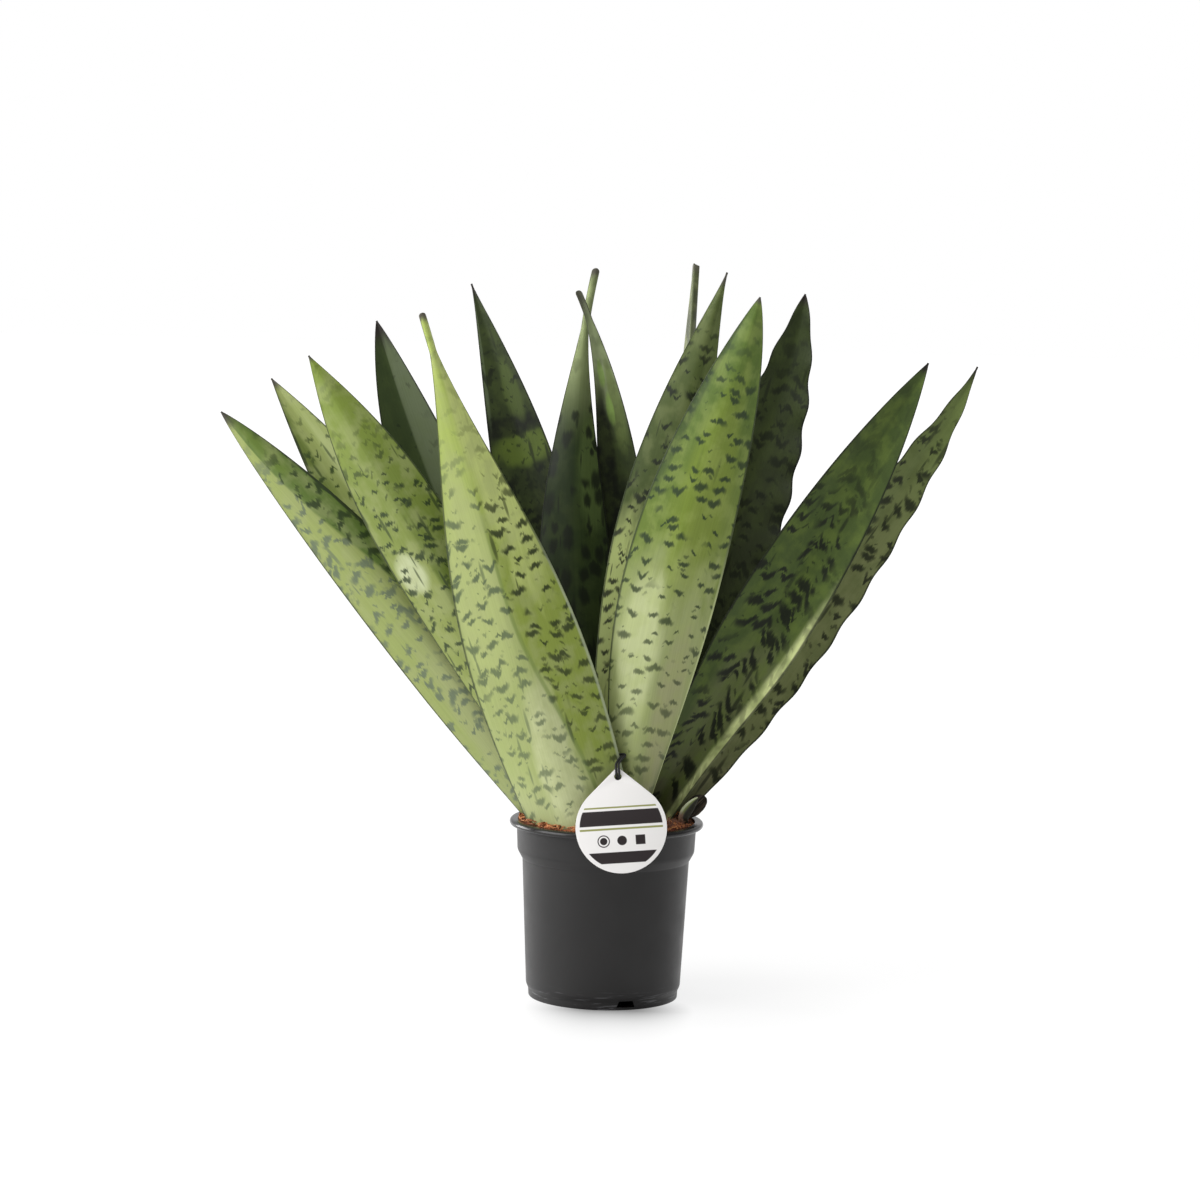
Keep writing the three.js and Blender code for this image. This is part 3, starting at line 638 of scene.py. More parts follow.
# %% Give each leaf its own look
LOOKS = {
    "leaf_01": dict(
        SKIN, left="#909C59", right="#5C7233", top="#7F8F48", top_span=(0.9, 1.3), foot="#8C985C",
        left_mark="#616E56", right_mark="#2C3B1E", cell=(10, 9), dash=(7.5, 3.2), streak_chance=0.5,
        keel_place=(0.45, -0.3), keel_span=(0.5, 0.95), dry=12,
        patches=(
            (PALE, 0.3, 0.18, 1.0, 0.3, 0.9), ("#6C8238", 0.3, 0.9, 0.5, 0.07, 0.6),
            ("#1F2815", 1.0, 0.72, 0.12, 0.36, 0.9),
        ),
    ),
    "leaf_02": dict(
        SKIN, left="#76824A", right="#76824A", top="#8F9A5A", cell=(12, 10), dash=(5, 2.4), chance=0.7,
        dry=10,
        patches=(
            ("#A5AE78", 0.5, 0.6, 0.6, 0.3, 0.9), (MOSS, -0.9, 0.7, 0.5, 0.3, 0.9),
            ("#2A351B", -1.0, 0.8, 0.14, 0.25, 0.9),
        ),
    ),
    "leaf_03": dict(
        SKIN, right="#62732D", top=BRIGHT, left_mark="#2A3A1C", right_mark="#24331A", cell=(9.5, 9),
        dash=(5.6, 2.5), streak_chance=0.55, mark_fade=(0.7, 0.88), dry=6,
        patches=(
            # the pale second patch is a painted highlight, where the wax mirrors the lamp
            ("#6F7F38", 0.0, 0.7, 2.0, 0.12, 0.5), ("#C2C9A2", -0.52, 0.555, 0.42, 0.045, 0.75),
        ),
    ),
    "leaf_04": dict(
        DARK_SHADED_SKIN, left="#2C3919", right="#505A3F", top="#3F4A30", top_span=(0.9, 1.2), chance=0.12,
        streak_chance=0.1, speck_chance=0.1, mottle=0.15, dry=25,
    ),
    "leaf_05": dict(
        SKIN, left="#929D61", right="#808F3E", top="#9BAA58", top_span=(0.45, 0.8), foot="#9BA272",
        foot_end=0.14, left_mark="#4F5D42", right_mark="#18240F", cell=(14, 10), dash=(7.8, 3.4),
        streak_chance=0.25, fray=5.5, mark_fade=(0.55, 0.8), foot_marks=0.8, keel=0.5,
        # its pale right margin is a painted highlight
        keel_colour="#5C712F", keel_place=(0.55, 0.0), mottle=0.4, right_margin="#A0AA8C", gloss=0.25,
        rough=(0.48, 0.6), dry=9, dry_colour="#565347",
        patches=(
            (CREAM, 0.05, 0.1, 0.33, 0.2, 0.7), ("#A2AC6E", -0.5, 0.5, 0.5, 0.25, 0.7),
            ("#B6C176", 0.6, 0.76, 0.6, 0.32, 0.9),
        ),
    ),
    "leaf_06": dict(
        # its lower part and a thin band across it are painted shade
        DARK_SHADED_SKIN, right="#1F2712", foot=PAINTED_SHADE, foot_end=0.64, chance=0.3, speck_chance=0.7, dry=14,
        patches=(
            ("#5A6B28", 0.2, 0.68, 1.2, 0.035, 0.85), (PAINTED_SHADE, 0.0, 0.725, 3.0, 0.02, 0.85),
            ("#51602B", 0.35, 0.79, 0.45, 0.06, 0.6), ("#59654A", -0.9, 0.86, 0.14, 0.14, 0.8),
        ),
    ),
    "leaf_07": dict(
        # its foot and a strip at its right margin are painted shade
        DARK_SHADED_SKIN, left="#1E2A10", right="#263315", top="#848F62", top_span=(0.66, 0.88), foot=PAINTED_SHADE,
        foot_end=0.5, cell=(11, 18), dash=(6, 9), speck_chance=0.1, mark_fade=(0.7, 0.85), mottle=0.15,
        gloss=0.2, dry=10, dry_colour="#4C4A40",
        patches=(
            ("#4A5A2E", 0.6, 0.62, 0.5, 0.12, 0.8), (PAINTED_SHADE, 1.0, 0.72, 0.06, 0.25, 0.95),
        ),
    ),
    "leaf_08": dict(
        DARK_SHADED_SKIN, left="#303B1B", right="#303B1B", top="#7E8864", top_span=(0.7, 0.83), chance=0.5,
        speck_chance=0.1, mark_fade=(0.55, 0.7), dry=26, dry_colour="#494A3D",
        patches=(
            # the two blackest patches are painted shade inside the channel
            ("#5D6B38", 0.5, 0.78, 0.5, 0.1, 0.8), ("#7F9C4C", -0.3, 0.84, 0.35, 0.03, 0.7),
            ("#7F9C4C", 0.0, 0.77, 0.3, 0.035, 0.7), (PAINTED_SHADE, -0.75, 0.66, 0.75, 0.17, 1.0),
            (PAINTED_SHADE, 0.1, 0.35, 3.0, 0.3, 1.0),
        ),
    ),
    "leaf_09": dict(
        SKIN, left=STONE, right=STONE, top=STONE, foot=STONE, chance=0.2, streak_chance=0.1,
        speck_chance=0.1, margin="#6C7453", right_margin="#6C7453", dry=9, dry_colour="#5C5B4C",
    ),
    "leaf_10": dict(
        SKIN, left="#3B481E", right="#424F23", top="#4A562B", foot="#424A2A", left_mark=INK,
        right_mark=INK, dash=(8, 3.4), mottle=0.15, gloss=0.25, rough=(0.55, 0.65), dry=14,
        patches=(
            ("#A6B26E", -0.4, 0.36, 1.3, 0.2, 0.95), ("#5D6A3A", 0.8, 0.85, 0.5, 0.2, 0.7),
        ),
    ),
    "leaf_11": dict(
        SKIN, left="#5D7029", right="#6F7F38", top="#4F6426", top_span=(0.5, 0.85), foot="#777A52",
        left_mark="#22331A", right_mark="#22331A", cell=(12.5, 11.5), dash=(6.6, 3.2),
        streak_chance=0.0, speck_chance=0.2, fray=5.0, foot_marks=0.7, mottle=0.25,
        # its pale right margin is a painted highlight
        mottle_colour="#98A65A", right_margin="#B9C48C", gloss=0.3, rough=(0.5, 0.6), dry=6,
        patches=(
            # the pale second patch is a painted highlight, and the last one, at the left margin, is painted
            # shade
            ("#98A16C", 0.0, 0.3, 1.5, 0.24, 0.9), ("#BAC290", -0.4, 0.32, 0.5, 0.15, 0.75),
            ("#A09F76", 0.5, 0.2, 0.4, 0.18, 0.6), ("#78892F", 0.15, 0.64, 0.6, 0.24, 0.5),
            ("#33451C", -0.95, 0.8, 0.22, 0.2, 0.8),
        ),
    ),
    "leaf_12": dict(
        DARK_SHADED_SKIN, left="#3B4424", right="#30371F", top="#2D3719", dash=(9, 4), strength=0.75,
        zigzag=10.0, mottle=0.25, dry=12,
    ),
    "leaf_13": dict(
        DARK_SHADED_SKIN, left="#445526", right="#425224", top="#3C4C20", foot="#5E5F40", cell=(12, 10.5),
        dash=(10, 4.6), chance=0.8, strength=0.95, streak=(2, 12), streak_chance=0.3, zigzag=13.0,
        chevron=0.65, mark_fade=(0.6, 0.85), clear_edge=0.75, mottle=0.5, mottle_colour="#60722F",
        dry=12,
        patches=(
            # the pale second patch is a painted highlight, where the raised right wing catches the lamp
            ("#626A42", 0.3, 0.22, 0.9, 0.2, 0.8), ("#D0DA98", 1.0, 0.14, 0.3, 0.4, 1.0),
        ),
    ),
    "leaf_14": dict(
        DARK_SHADED_SKIN, left="#767F50", right="#787F52", top="#62713C", foot="#7E7D60", dash=(7, 3.6),
        chance=0.75, dry=14,
    ),
}
for number, (name, look) in enumerate(LOOKS.items()):
    leaf = {**LEAF, **LEAVES[name]}
    skin = leaf_skin(f"waxy_leaf_skin_{name[-2:]}", number, leaf, look)
    show("blade_" + name[-2:], blade_mesh(name, leaf), skin, [name])

# %% [markdown]
# Two short scale leaves stand at the foot of the right-hand shoot. They are the same kind of blade, only
# smaller. One is young, waxy and pale green, with a brownish foot; a pale painted highlight runs along one
# margin and painted shade covers its inner half. The other has dried to a blackish, papery sheath with
# paler streaks. Both have fine streaks that run along them.

# %% Make the two scale leaves
stub_skin, add = new_material("young_scale_leaf_waxy")
share = read_kept(add, "blade_share")
place = add("Attribute", attribute_name="blade_mm").outputs["Vector"]
streaks = add("TexNoise", Vector=add("VectorMath MULTIPLY", place, (1.2, 0.12, 1)), Scale=1, Detail=2)
# a pale painted highlight along one margin
inner = add("MapRange SMOOTHSTEP", share[0], -0.75, -0.25)
green = add("Mix RGBA", inner, linear("#D3DBB2"), linear("#7C8A3E"))
rising = add("MapRange SMOOTHSTEP", share[1], 0.05, 0.35)
lit = add("Mix RGBA", rising, linear("#9A7A62"), green)
# painted shade over the inner half
shaded = add("MapRange SMOOTHSTEP", share[0], -0.3, 0.3)
tone = add("Mix RGBA", shaded, lit, linear("#262517"))
streaked = add("Mix RGBA", 0.5, tone, streaks, blend_type="OVERLAY")
finish_material(add, Base_Color=streaked, Roughness=0.4)

husk, add = new_material("dried_leaf_sheath_papery")
place = add("Attribute", attribute_name="blade_mm").outputs["Vector"]
streaks = add("TexNoise", Vector=add("VectorMath MULTIPLY", place, (1.4, 0.08, 1)), Scale=1, Detail=3)
light_streak = add("MapRange SMOOTHSTEP", streaks, 0.5, 0.64)
tone = add("Mix RGBA", light_streak, linear("#221C17"), linear("#6F6250"))
finish_material(add, Base_Color=tone, Roughness=0.7,
                Normal=add("Bump", Strength=0.6, Distance=0.0004, Height=streaks))

for name, skin, slot in (("leaf_stub", stub_skin, "pale_leaf"), ("dry_sheath", husk, "dried_leaf")):
    mesh = blade_mesh(name, {**LEAF, **LEAVES[name]}, rows=40, columns=16)
    show("scale_" + name, mesh, skin, [name])
    print(name, "faces:", len(mesh.polygons))

# %% [markdown]
# ## The pot
# Nursery pots are injection moulded. The pot is a turned shape, so its profile is written once as radius
# and height in mm, and swept round. The lip is a rolled bead. Each other corner of the profile is rounded
# by a small radius, which lets the step catch a soft highlight. Three drain notches are cut out of the
# foot with one boolean cutter, since they have flat sides.

# %% Turn the pot
POT_HEIGHT, LIP_RADIUS, LIP_HEIGHT = 129.4, 70, 4.6
BAND_LOW, BODY_TOP, BODY_LOW, FOOT = (64, 107), (60.3, 100.5), (55.9, 9), (54.2, 5.5)
POT_SIDES = 192


def rounded(profile, radii, steps=5):
    """The profile with each corner replaced by a small curve."""
    points = [profile[0]]
    for before, corner, after, radius in zip(profile, profile[1:], profile[2:], radii):
        a, b, c = (np.array(p, float) for p in (before, corner, after))
        reach = min(radius, np.linalg.norm(a - b) * 0.45, np.linalg.norm(c - b) * 0.45)
        a, c = b + reach * unit(a - b), b + reach * unit(c - b)
        for t in np.linspace(0, 1, steps):
            points.append((1 - t) ** 2 * a + 2 * t * (1 - t) * b + t ** 2 * c)
    return np.array([*points, profile[-1]], float)


def arc(centre, radius, start, end, steps):
    """Points on an arc, in mm and degrees."""
    angles = np.radians(np.linspace(start, end, steps))
    return [(centre[0] + radius * math.cos(a), centre[1] + radius * math.sin(a)) for a in angles]


def turn(name, profile, sides):
    """A closed mesh turned about +Z from [radius, height] in mm, from the axis to the axis."""
    angle = np.linspace(0, 2 * np.pi, sides, endpoint=False)
    ring = np.stack([np.cos(angle), np.sin(angle)], -1)
    points = np.concatenate([profile[:, None, :1] * ring, np.repeat(profile[:, None, 1:], sides, 1)], -1)
    return new_mesh(name, points, grid_faces(*points.shape[:2]))


bead = LIP_HEIGHT / 2
bead_middle = POT_HEIGHT - bead
pot_profile = [
    (1, 0), (53.4, 0), (54, 0.6), FOOT, BODY_LOW, BODY_TOP, (61, 101.5), BAND_LOW, (65, 128),
    (67, 128), (67, bead_middle - bead), *arc((LIP_RADIUS - bead, bead_middle), bead, -90, 90, 11),
    (64.2, POT_HEIGHT), (63.7, 128.9), (62.7, 107.5), (59.5, 102.3), (59, 100.5), (54.6, 9.5), (52.9, 5.5),
    (52.7, 1.6), (1, 1.6),
]
corner_radii = [2, 0.6, 1.2, 1.6, 1.2, 1.2, 1.6, 0.8, 0.4, *[0.1] * 12, *[1] * 8]
pot = turn("nursery_pot", rounded(pot_profile, corner_radii), POT_SIDES)
print("pot faces:", len(pot.polygons))

# %% Cut the drain notches
NOTCHES, FIRST_NOTCH = 3, -72
NOTCH_RADII = (50, 58)
NOTCH_OUTLINE = ((-7, 2), (7, 2), (5, 6.7), (-5, 6.7))

notches = bmesh.new()
for i in range(NOTCHES):
    turned = Matrix.Rotation(math.radians(FIRST_NOTCH + 360 / NOTCHES * i), 4, "Z")
    corners = []
    for radius in NOTCH_RADII:
        for across, height in NOTCH_OUTLINE:
            corners.append(notches.verts.new(turned @ Vector((radius * MM, across * MM, height * MM))))
    a, b, c, d, e, f, g, h = corners
    for loop in ((a, d, c, b), (e, f, g, h), (a, b, f, e), (b, c, g, f), (c, d, h, g), (d, a, e, h)):
        notches.faces.new(loop)
bmesh.ops.recalc_face_normals(notches, faces=notches.faces)
cutter_mesh = bpy.data.meshes.new("notch_cutter")
notches.to_mesh(cutter_mesh)
notches.free()


def cut(mesh, cutter_mesh):
    """mesh without the space of the cutter."""
    solid = bpy.data.objects.new("solid", mesh)
    cutter = bpy.data.objects.new("cutter", cutter_mesh)
    for o in (solid, cutter):
        bpy.context.scene.collection.objects.link(o)
    modifier = solid.modifiers.new("cut", "BOOLEAN")
    modifier.object, modifier.operation, modifier.solver = cutter, "DIFFERENCE", "EXACT"
    bpy.context.view_layer.update()
    result = bpy.data.meshes.new_from_object(solid.evaluated_get(bpy.context.evaluated_depsgraph_get()))
    for o in (solid, cutter):
        bpy.data.objects.remove(o)
    return result


pot = cut(pot, cutter_mesh)
print("pot faces with notches:", len(pot.polygons))

# %% [markdown]
# The plastic is dark grey polypropylene with a fine matt grain and slow changes of tone. Benches and
# trays have scuffed the lowest centimetre, and the lip, which hands polish, shines a little more.

# %% Colour the pot
plastic, add = new_material("polypropylene_moulded_dark_grey_satin")
spot = add("TexCoord").outputs["Object"]
grain = add("TexNoise", Vector=spot, Scale=1400, Detail=2)
cloudy = add("TexNoise", Vector=spot, Scale=18, Detail=3)
tone = add("Mix RGBA", cloudy, linear("#1D1C1C"), linear("#242323"))
height = add("SeparateXYZ", spot).outputs["Z"]
low = add("MapRange SMOOTHSTEP", height, 0.016, 0.004)
stretched = add("VectorMath MULTIPLY", spot, (60, 60, 900))
scuffs = add("MapRange SMOOTHSTEP", add("TexNoise", Vector=stretched, Scale=1, Detail=3), 0.55, 0.7)
worn = add("Math MULTIPLY", low, scuffs)
scuffed = add("Mix RGBA", add("Math MULTIPLY", worn, 0.5), tone, linear("#77777A"))
at_lip = add("MapRange", height, 0.122, 0.127, 1.0, 0.5)
patchy = add("TexNoise", Vector=spot, Scale=60, Detail=4)
dull = add("Math MULTIPLY", add("MapRange", patchy, 0.3, 0.7, 0.36, 0.46), at_lip)
finish_material(add, Base_Color=scuffed, Roughness=dull, IOR=1.49, Specular_IOR_Level=0.32,
                Normal=add("Bump", Strength=0.25, Distance=0.0001, Height=grain))
pot_piece = show("nursery_pot", pot, plastic, ["pot"])
pot_piece.data.set_sharp_from_angle(angle=math.radians(40))

# %% [markdown]
# ## The coir
# Coconut coir is the fibre of coconut husks: crumbs and hairs. The body of it is a mound that is highest
# in the middle, with lumps of three sizes and a dip beside the stub. It is a grid of rings with a height
# for each point, since a real heap has no overhang.

# %% Fill the pot with coir
SOIL_SURFACE = [(63.3, 129.5), (58, 131.2), (50, 132.5), (30, 133.6), (0.5, 134)]
DIP_PLACE, DIP_SPREAD, DIP_DEPTH = (50, -3), (18, 13), 6
LUMPS = ((2.4, 9, 0), (2.0, 4, 5), (1.0, 1.8, 9))
MEAN_LUMP = 0.8
SOIL_SIDES = 240


def soil_height(x, y):
    """The coir's surface in mm, without its lumps."""
    radii, heights = zip(*SOIL_SURFACE[::-1])
    aside, behind = (x - DIP_PLACE[0]) / DIP_SPREAD[0], (y - DIP_PLACE[1]) / DIP_SPREAD[1]
    dip = DIP_DEPTH * math.exp(-aside ** 2 / 2 - behind ** 2 / 2)
    return np.interp(np.hypot(x, y), radii, heights) - dip


def lumpy_height(x, y):
    """The surface with its lumps of several heights and sizes, each with its own seed."""
    rough = sum(tall * noise.noise(Vector((x / size, y / size, seed))) for tall, size, seed in LUMPS)
    return soil_height(x, y) + rough - MEAN_LUMP


body = [(1, 7.4), (48, 7.4), (53.6, 8), (54.6, 15), (58.7, 100.5), (59.2, 102.5), (62.4, 107.8), (63.3, 127)]
# None stands for the height of the lumpy surface
top = [(r, None) for r in (63.1, 62, 60.5, *np.arange(59, 1, -1.5), 1)]
angles = np.linspace(0, 2 * np.pi, SOIL_SIDES, endpoint=False)
rings = []
for radius, height in body + top:
    ring = np.stack([radius * np.cos(angles), radius * np.sin(angles), 0 * angles], -1)
    ring[:, 2] = [lumpy_height(x, y) for x, y, _ in ring] if height is None else height
    rings.append(ring)
mound = new_mesh("coir_mound", np.array(rings), grid_faces(len(rings), SOIL_SIDES))
print("coir, highest point in mm:", round(max(v.co.z for v in mound.vertices) / MM, 1))

# %% [markdown]
# Coir is orange-brown, in paler and darker patches with dark crumbs between them, and here it is darker
# and redder towards the right. The loose strands share this material. Each one has two numbers, its tint:
# how far it goes to the pale colour of a clean fibre, and how far to the grey brown of an old hair.

# %% Colour the coir
coir, add = new_material("coconut_coir_loose_fibre")
spot = add("TexCoord").outputs["Object"]
tint = read_kept(add, "tint")
patch = add("TexNoise", Vector=spot, Scale=90, Detail=3)
crumb = add("TexNoise", Vector=spot, Scale=700, Detail=3)
orange = add("Mix RGBA", add("MapRange", patch, 0.35, 0.65), linear("#6A341C"), linear("#B5683A"))
mixed = add("Mix RGBA", add("MapRange", crumb, 0.4, 0.65), orange, linear("#3A1D12"))
to_right = add("SeparateXYZ", spot).outputs["X"]
redder = add("MapRange", to_right, 0.012, 0.04, 0.0, 0.65)
reddened = add("Mix RGBA", redder, mixed, linear("#6A3022"))
strand = add("Mix RGBA", tint[0], reddened, linear("#D08C58"))
hair = add("Mix RGBA", tint[1], strand, linear("#7A5B48"))
finish_material(add, Base_Color=hair, Roughness=0.9,
                Normal=add("Bump", Strength=0.8, Distance=0.0006, Height=crumb))
show("coir_mound", mound, coir, ["soil"])

# %% [markdown]
# Loose fibres lie on the mound, each a thin bent tube, since only real strands give the broken edge that
# shows over the lip. A hundred browner hairs stand up out of the coir at the front right.


# %% Draw tubes and join them
def tube(points, radii, sides, closed=False):
    """Grid points of a tube round a path, in mm. Its frame is carried along without twisting."""
    ahead = np.roll(points, -1, 0) - np.roll(points, 1, 0)
    if not closed:
        ahead[0], ahead[-1] = points[1] - points[0], points[-1] - points[-2]
    ahead = unit(ahead)
    side = unit(np.cross(ahead[0], [0.31, 0.24, 0.92]))
    angle = np.linspace(0, 2 * np.pi, sides, endpoint=False)
    rows = []
    for point, direction, radius in zip(points, ahead, np.broadcast_to(radii, len(points))):
        side = unit(side - (side @ direction) * direction)
        other = np.cross(direction, side)
        rows.append(point + radius * (np.cos(angle)[:, None] * side + np.sin(angle)[:, None] * other))
    return np.array(rows)


def join(name, grids, tints):
    """Many tubes in one mesh. A tint says how pale and how brown each one is."""
    points, faces, shades = [], [], []
    for grid, shade in zip(grids, tints):
        faces += grid_faces(*grid.shape[:2], start=len(shades))
        points.append(grid.reshape(-1, 3))
        shades += [(*shade, 0)] * len(points[-1])
    mesh = new_mesh(name, np.concatenate(points), faces)
    keep(mesh, "tint", np.array(shades))
    return mesh


# %% Scatter the loose fibres
FIBRES, HAIRS = 1500, 110
FIBRE_REACH, INSIDE_LIP, HAIR_REACH = 62.5, 63.2, 61.5
rng = np.random.default_rng(7)

fibres = []
for _ in range(FIBRES):
    radius = FIBRE_REACH * math.sqrt(rng.uniform(0.12, 1))
    angle, heading = rng.uniform(0, 2 * math.pi, 2)
    bend, length = rng.normal(0, 0.35), rng.uniform(6, 18)
    lift = rng.uniform(0.1, 2.4)
    place = np.array([radius * math.cos(angle), radius * math.sin(angle)])
    path = []
    for share in np.linspace(0, 1, 7):
        x, y = place * min(1, INSIDE_LIP / max(np.hypot(*place), 1e-6))
        path.append([x, y, soil_height(x, y) + 0.2 + lift * math.sin(math.pi * share)])
        place = place + length / 6 * np.array([math.cos(heading), math.sin(heading)])
        heading += bend
    fibres.append(tube(np.array(path), rng.uniform(0.2, 0.5), 5))

hairs = []
for _ in range(HAIRS):
    radius, around = rng.uniform(50, HAIR_REACH), rng.uniform(-0.8, 0.1)
    x, y = radius * math.cos(around), radius * math.sin(around)
    lean, bend, length = rng.normal(0.1, 0.5), rng.normal(0, 0.25), rng.uniform(3, 9)
    path = [[x, y, soil_height(x, y) - 1]]
    for _ in range(5):
        x = min(x + length / 5 * math.sin(lean) * 0.7, HAIR_REACH)
        y = y + length / 5 * math.sin(bend) * 0.3
        lean += bend
        path.append([x, y, path[-1][2] + length / 5 * math.cos(lean)])
    hairs.append(tube(np.array(path), rng.uniform(0.12, 0.26), 5))

pale_tints = [(pale, 0) for pale in rng.uniform(0, 1, len(fibres))]
brown_tints = [(0, brown) for brown in rng.uniform(0.3, 1, len(hairs))]
strands = join("coir_fibres", fibres + hairs, pale_tints + brown_tints)
show("coir_fibres", strands, coir, [])
print("fibres and hairs:", len(fibres), len(hairs))

# %% [markdown]
# ## The hang tag
# The tag is a drop cut from thin white plastic. It leans back on the lip by 17 degrees and is turned a
# little. Its mesh is a filled flat outline with a hole and a tiny rounded edge, drawn flat and then laid
# in its place. The outline is two arcs with straight flanks that touch them.

# %% Cut the tag
TAG_PLACE, TAG_LEAN, TAG_TURN = (10.5, -68.8, 134.5), 17, 5
TAG_RADIUS, TAG_APEX, APEX_RADIUS, TAG_THICKNESS, EDGE_ROUND = 32.25, 42.75, 2.2, 0.8, 0.15
HOLE_UP, HOLE_RADIUS = 36.6, 2.6
TAG_FRAME = (
    Matrix.Translation(Vector(TAG_PLACE) * MM)
    @ Matrix.Rotation(math.radians(90 - TAG_LEAN), 4, "X")
    @ Matrix.Rotation(math.radians(TAG_TURN), 4, "Z")
)

apex_centre = TAG_APEX - APEX_RADIUS
shoulder = math.degrees(math.acos((TAG_RADIUS - APEX_RADIUS) / apex_centre))
outline = (
    arc((0, 0), TAG_RADIUS, 90 + shoulder, 450 - shoulder, 120)
    + arc((0, apex_centre), APEX_RADIUS, 90 - shoulder, 90 + shoulder, 12)
)
flat = bpy.data.curves.new("tag_outline", "CURVE")
flat.dimensions, flat.fill_mode = "2D", "BOTH"
flat.extrude = (TAG_THICKNESS / 2 - EDGE_ROUND) * MM
flat.bevel_depth, flat.bevel_resolution = EDGE_ROUND * MM, 2
flat.offset = -EDGE_ROUND * MM
for ring in (outline, arc((0, HOLE_UP), HOLE_RADIUS, 0, 360, 41)[:-1]):
    spline = flat.splines.new("POLY")
    spline.points.add(len(ring) - 1)
    for point, (x, y) in zip(spline.points, ring):
        point.co = (x * MM, y * MM, 0, 1)
    spline.use_cyclic_u = True
drawn = bpy.data.objects.new("tag_drawn", flat)
bpy.context.scene.collection.objects.link(drawn)
bpy.context.view_layer.update()
tag = bpy.data.meshes.new_from_object(drawn.evaluated_get(bpy.context.evaluated_depsgraph_get()))
bpy.data.objects.remove(drawn)
tag.materials.clear()
bm = bmesh.new()
bm.from_mesh(tag)
bmesh.ops.remove_doubles(bm, verts=bm.verts, dist=1e-6)
bm.to_mesh(tag)
bm.free()
keep(tag, "tag_mm", np.array([v.co for v in tag.vertices]) / MM)
tag.transform(TAG_FRAME)
print("tag faces:", len(tag.polygons))

# %% [markdown]
# Such tags are printed flat in few inks. The print is plain: two charcoal bands, two thin olive lines and
# three simple marks, a sun, a drop and a pot. It is drawn in the tag's own millimetres from lines and
# circles, on the front only, with edges as soft as printing ink.

# %% Print the tag
INK_EDGE = 0.12
card, add = new_material("polypropylene_tag_white_printed")
on_tag = read_kept(add, "tag_mm")
across, upward, out = on_tag[0], on_tag[1], on_tag[2]


def between(value, low, high):
    """1 between two lines, and 0 outside."""
    rise = add("MapRange", value, low - INK_EDGE, low + INK_EDGE)
    fall = add("MapRange", value, high + INK_EDGE, high - INK_EDGE)
    return add("Math MULTIPLY", rise, fall)


def both(*shapes):
    """1 where all the shapes are 1."""
    return reduce(partial(add, "Math MULTIPLY"), shapes)


def either(*shapes):
    """1 where one of the shapes is 1."""
    return reduce(partial(add, "Math MAXIMUM"), shapes)


def distance(x, y):
    """How far the print is from a point of the tag, in mm."""
    aside, above = add("Math SUBTRACT", across, x), add("Math SUBTRACT", upward, y)
    squares = add("Math ADD", add("Math POWER", aside, 2.0), add("Math POWER", above, 2.0))
    return add("Math SQRT", squares)


inside_rim = between(distance(0, 0), -1, 29.4)
charcoal_band = between(upward, 2.0, 12.5)
foot_band = between(upward, -25.0, -17.0)
charcoal = both(inside_rim, either(charcoal_band, foot_band))
olive = both(inside_rim, either(between(upward, -1.2, 0.2), between(upward, 14.2, 15.4)))
sun = either(between(distance(-13, -9), -1, 2.6), between(distance(-13, -9), 3.6, 4.4))
drop = between(distance(0, -9), -1, 3.4)
pot_mark = both(between(across, 9.6, 16.4), between(upward, -12.4, -5.6))
marks = either(sun, drop, pot_mark)
front = between(out, 0.2, 5)
ink = either(charcoal, marks)
printed = add("Mix RGBA", both(front, olive), linear("#E6E4E2"), linear("#8E9156"))
printed = add("Mix RGBA", both(front, ink), printed, linear("#2A2425"))
finish_material(add, Base_Color=printed, Roughness=0.35, IOR=1.49)
tag_piece = show("hang_tag", tag, card, ["label"])
tag_piece.data.set_sharp_from_angle(angle=math.radians(50))

# %% [markdown]
# ## The elastic loop
# One black elastic string runs twice round the narrow foot of a leaf and through the tag's hole. Its way
# is a closed smooth curve through a few points. The string spirals about that curve by half a turn a lap,
# so the two laps lie side by side, and the second ends where the first began.


# %% Lead the elastic
STRING_RADIUS, STRING_SIDES, STRING_STEPS = 0.85, 12, 700


def on_tag_point(up, out):
    """A point of the tag in the frame of the scene, in mm."""
    return np.array(TAG_FRAME @ (Vector((0, up, out)) * MM)) / MM


route = np.array([
    on_tag_point(HOLE_UP, 0), on_tag_point(38.0, 2), on_tag_point(41.15, 2.1), on_tag_point(44.75, 1.2),
    (9, -50, 181), (11.2, -44.5, 182.5), (7, -40.2, 181.5), (-1, -35, 178), (0, -28, 174), (10, -26, 168),
    (22, -25.5, 159), (32, -23.5, 150), (36, -27, 145), (34, -34, 144), (27, -42, 148), (17, -50, 158),
    on_tag_point(36.2, -3),
])


def smooth_loop(points, steps=24):
    """A closed centripetal Catmull-Rom curve through points."""
    curve = []
    for i in range(len(points)):
        a, b, c, d = (points[(i + k) % len(points)] for k in (-1, 0, 1, 2))
        ta, tb, tc = (math.sqrt(np.linalg.norm(q - p)) for p, q in ((a, b), (b, c), (c, d)))
        leave = ((b - a) / ta - (c - a) / (ta + tb) + (c - b) / tb) * tb
        arrive = ((c - b) / tb - (d - b) / (tb + tc) + (d - c) / tc) * tb
        for t in np.linspace(0, 1, steps, endpoint=False):
            curve.append(
                b + leave * t + (3 * (c - b) - 2 * leave - arrive) * t ** 2
                + (2 * (b - c) + leave + arrive) * t ** 3
            )
    return np.array(curve)


curve = smooth_loop(route)
gone = np.concatenate([[0], np.cumsum(np.linalg.norm(np.roll(curve, -1, 0) - curve, axis=1))])
closed_curve = np.vstack([curve, curve[:1]])
lap_length = gone[-1]
middle_of_loop = np.array([9, -36, 165.0])


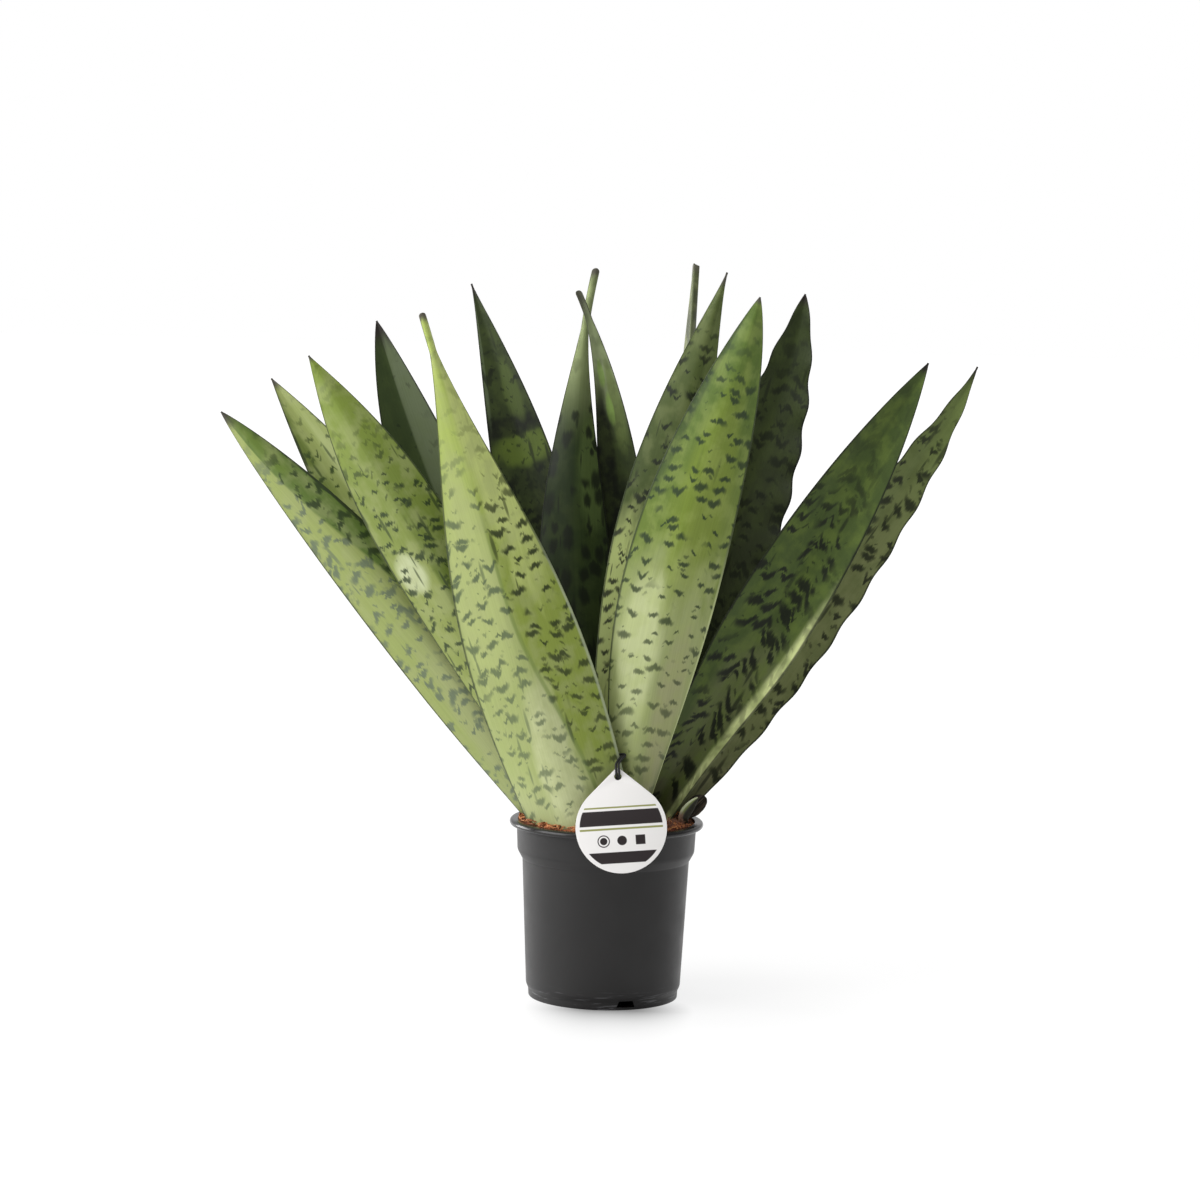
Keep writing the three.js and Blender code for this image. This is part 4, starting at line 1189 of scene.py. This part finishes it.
def on_route(share):
    """Points of the route, after this many laps."""
    at = (share % 1) * lap_length
    return np.array([np.interp(at, gone, closed_curve[:, k]) for k in range(3)]).T


laps = np.linspace(0, 2, STRING_STEPS, endpoint=False)
point = on_route(laps)
along = unit(on_route(laps + 0.003) - on_route(laps - 0.003))
outward = point - middle_of_loop
outward = unit(outward - (outward * along).sum(1, keepdims=True) * along)
twist = (np.pi * laps)[:, None]
string = point + np.cross(along, outward) * np.cos(twist) + outward * np.sin(twist)
grid = tube(string, STRING_RADIUS, STRING_SIDES, closed=True)
print("elastic, one lap in mm:", round(lap_length))


def closed_tube(name, grid):
    """A tube that meets itself, with its length and its way round kept for the braid."""
    rows, sides = grid.shape[:2]
    index = np.arange(rows * sides).reshape(rows, sides)
    next_row, around = np.roll(index, -1, 0), np.roll(index, -1, 1)
    # the carried frame may not meet itself, so the last row joins the first with a shift
    shift = int(np.argmin([np.linalg.norm(grid[-1] - np.roll(grid[0], -k, 0)) for k in range(sides)]))
    next_row[-1] = np.roll(index[0], -shift)
    both_next = np.roll(next_row, -1, 1)
    faces = np.stack([index, around, both_next, next_row], -1).reshape(-1, 4).tolist()
    mesh = new_mesh(name, grid, faces)
    gone = np.repeat(np.linspace(0, 2 * lap_length, rows), sides)
    way_round = np.tile(np.arange(sides) * 1.0, rows)
    keep(mesh, "braid_mm", np.stack([gone, way_round, 0 * gone], -1))
    return mesh


# %% [markdown]
# Such a string is a rubber core in a braided black sleeve. The braid winds round it as a fine ridge, so a
# sine of the length and the way round serves as the bump.

# %% Colour the elastic
elastic, add = new_material("elastic_string_braided_black")
wound = read_kept(add, "braid_mm")
by_length, by_side = add("Math MULTIPLY", wound[0], 5.2), add("Math MULTIPLY", wound[1], 1.05)
ridge = add("Math SINE", add("Math ADD", by_length, by_side))
finish_material(add, Base_Color=linear("#121214"), Roughness=0.65,
                Normal=add("Bump", Strength=0.6, Distance=0.0002, Height=ridge))
show("elastic_loop", closed_tube("elastic_loop", grid), elastic, ["label_loop"])
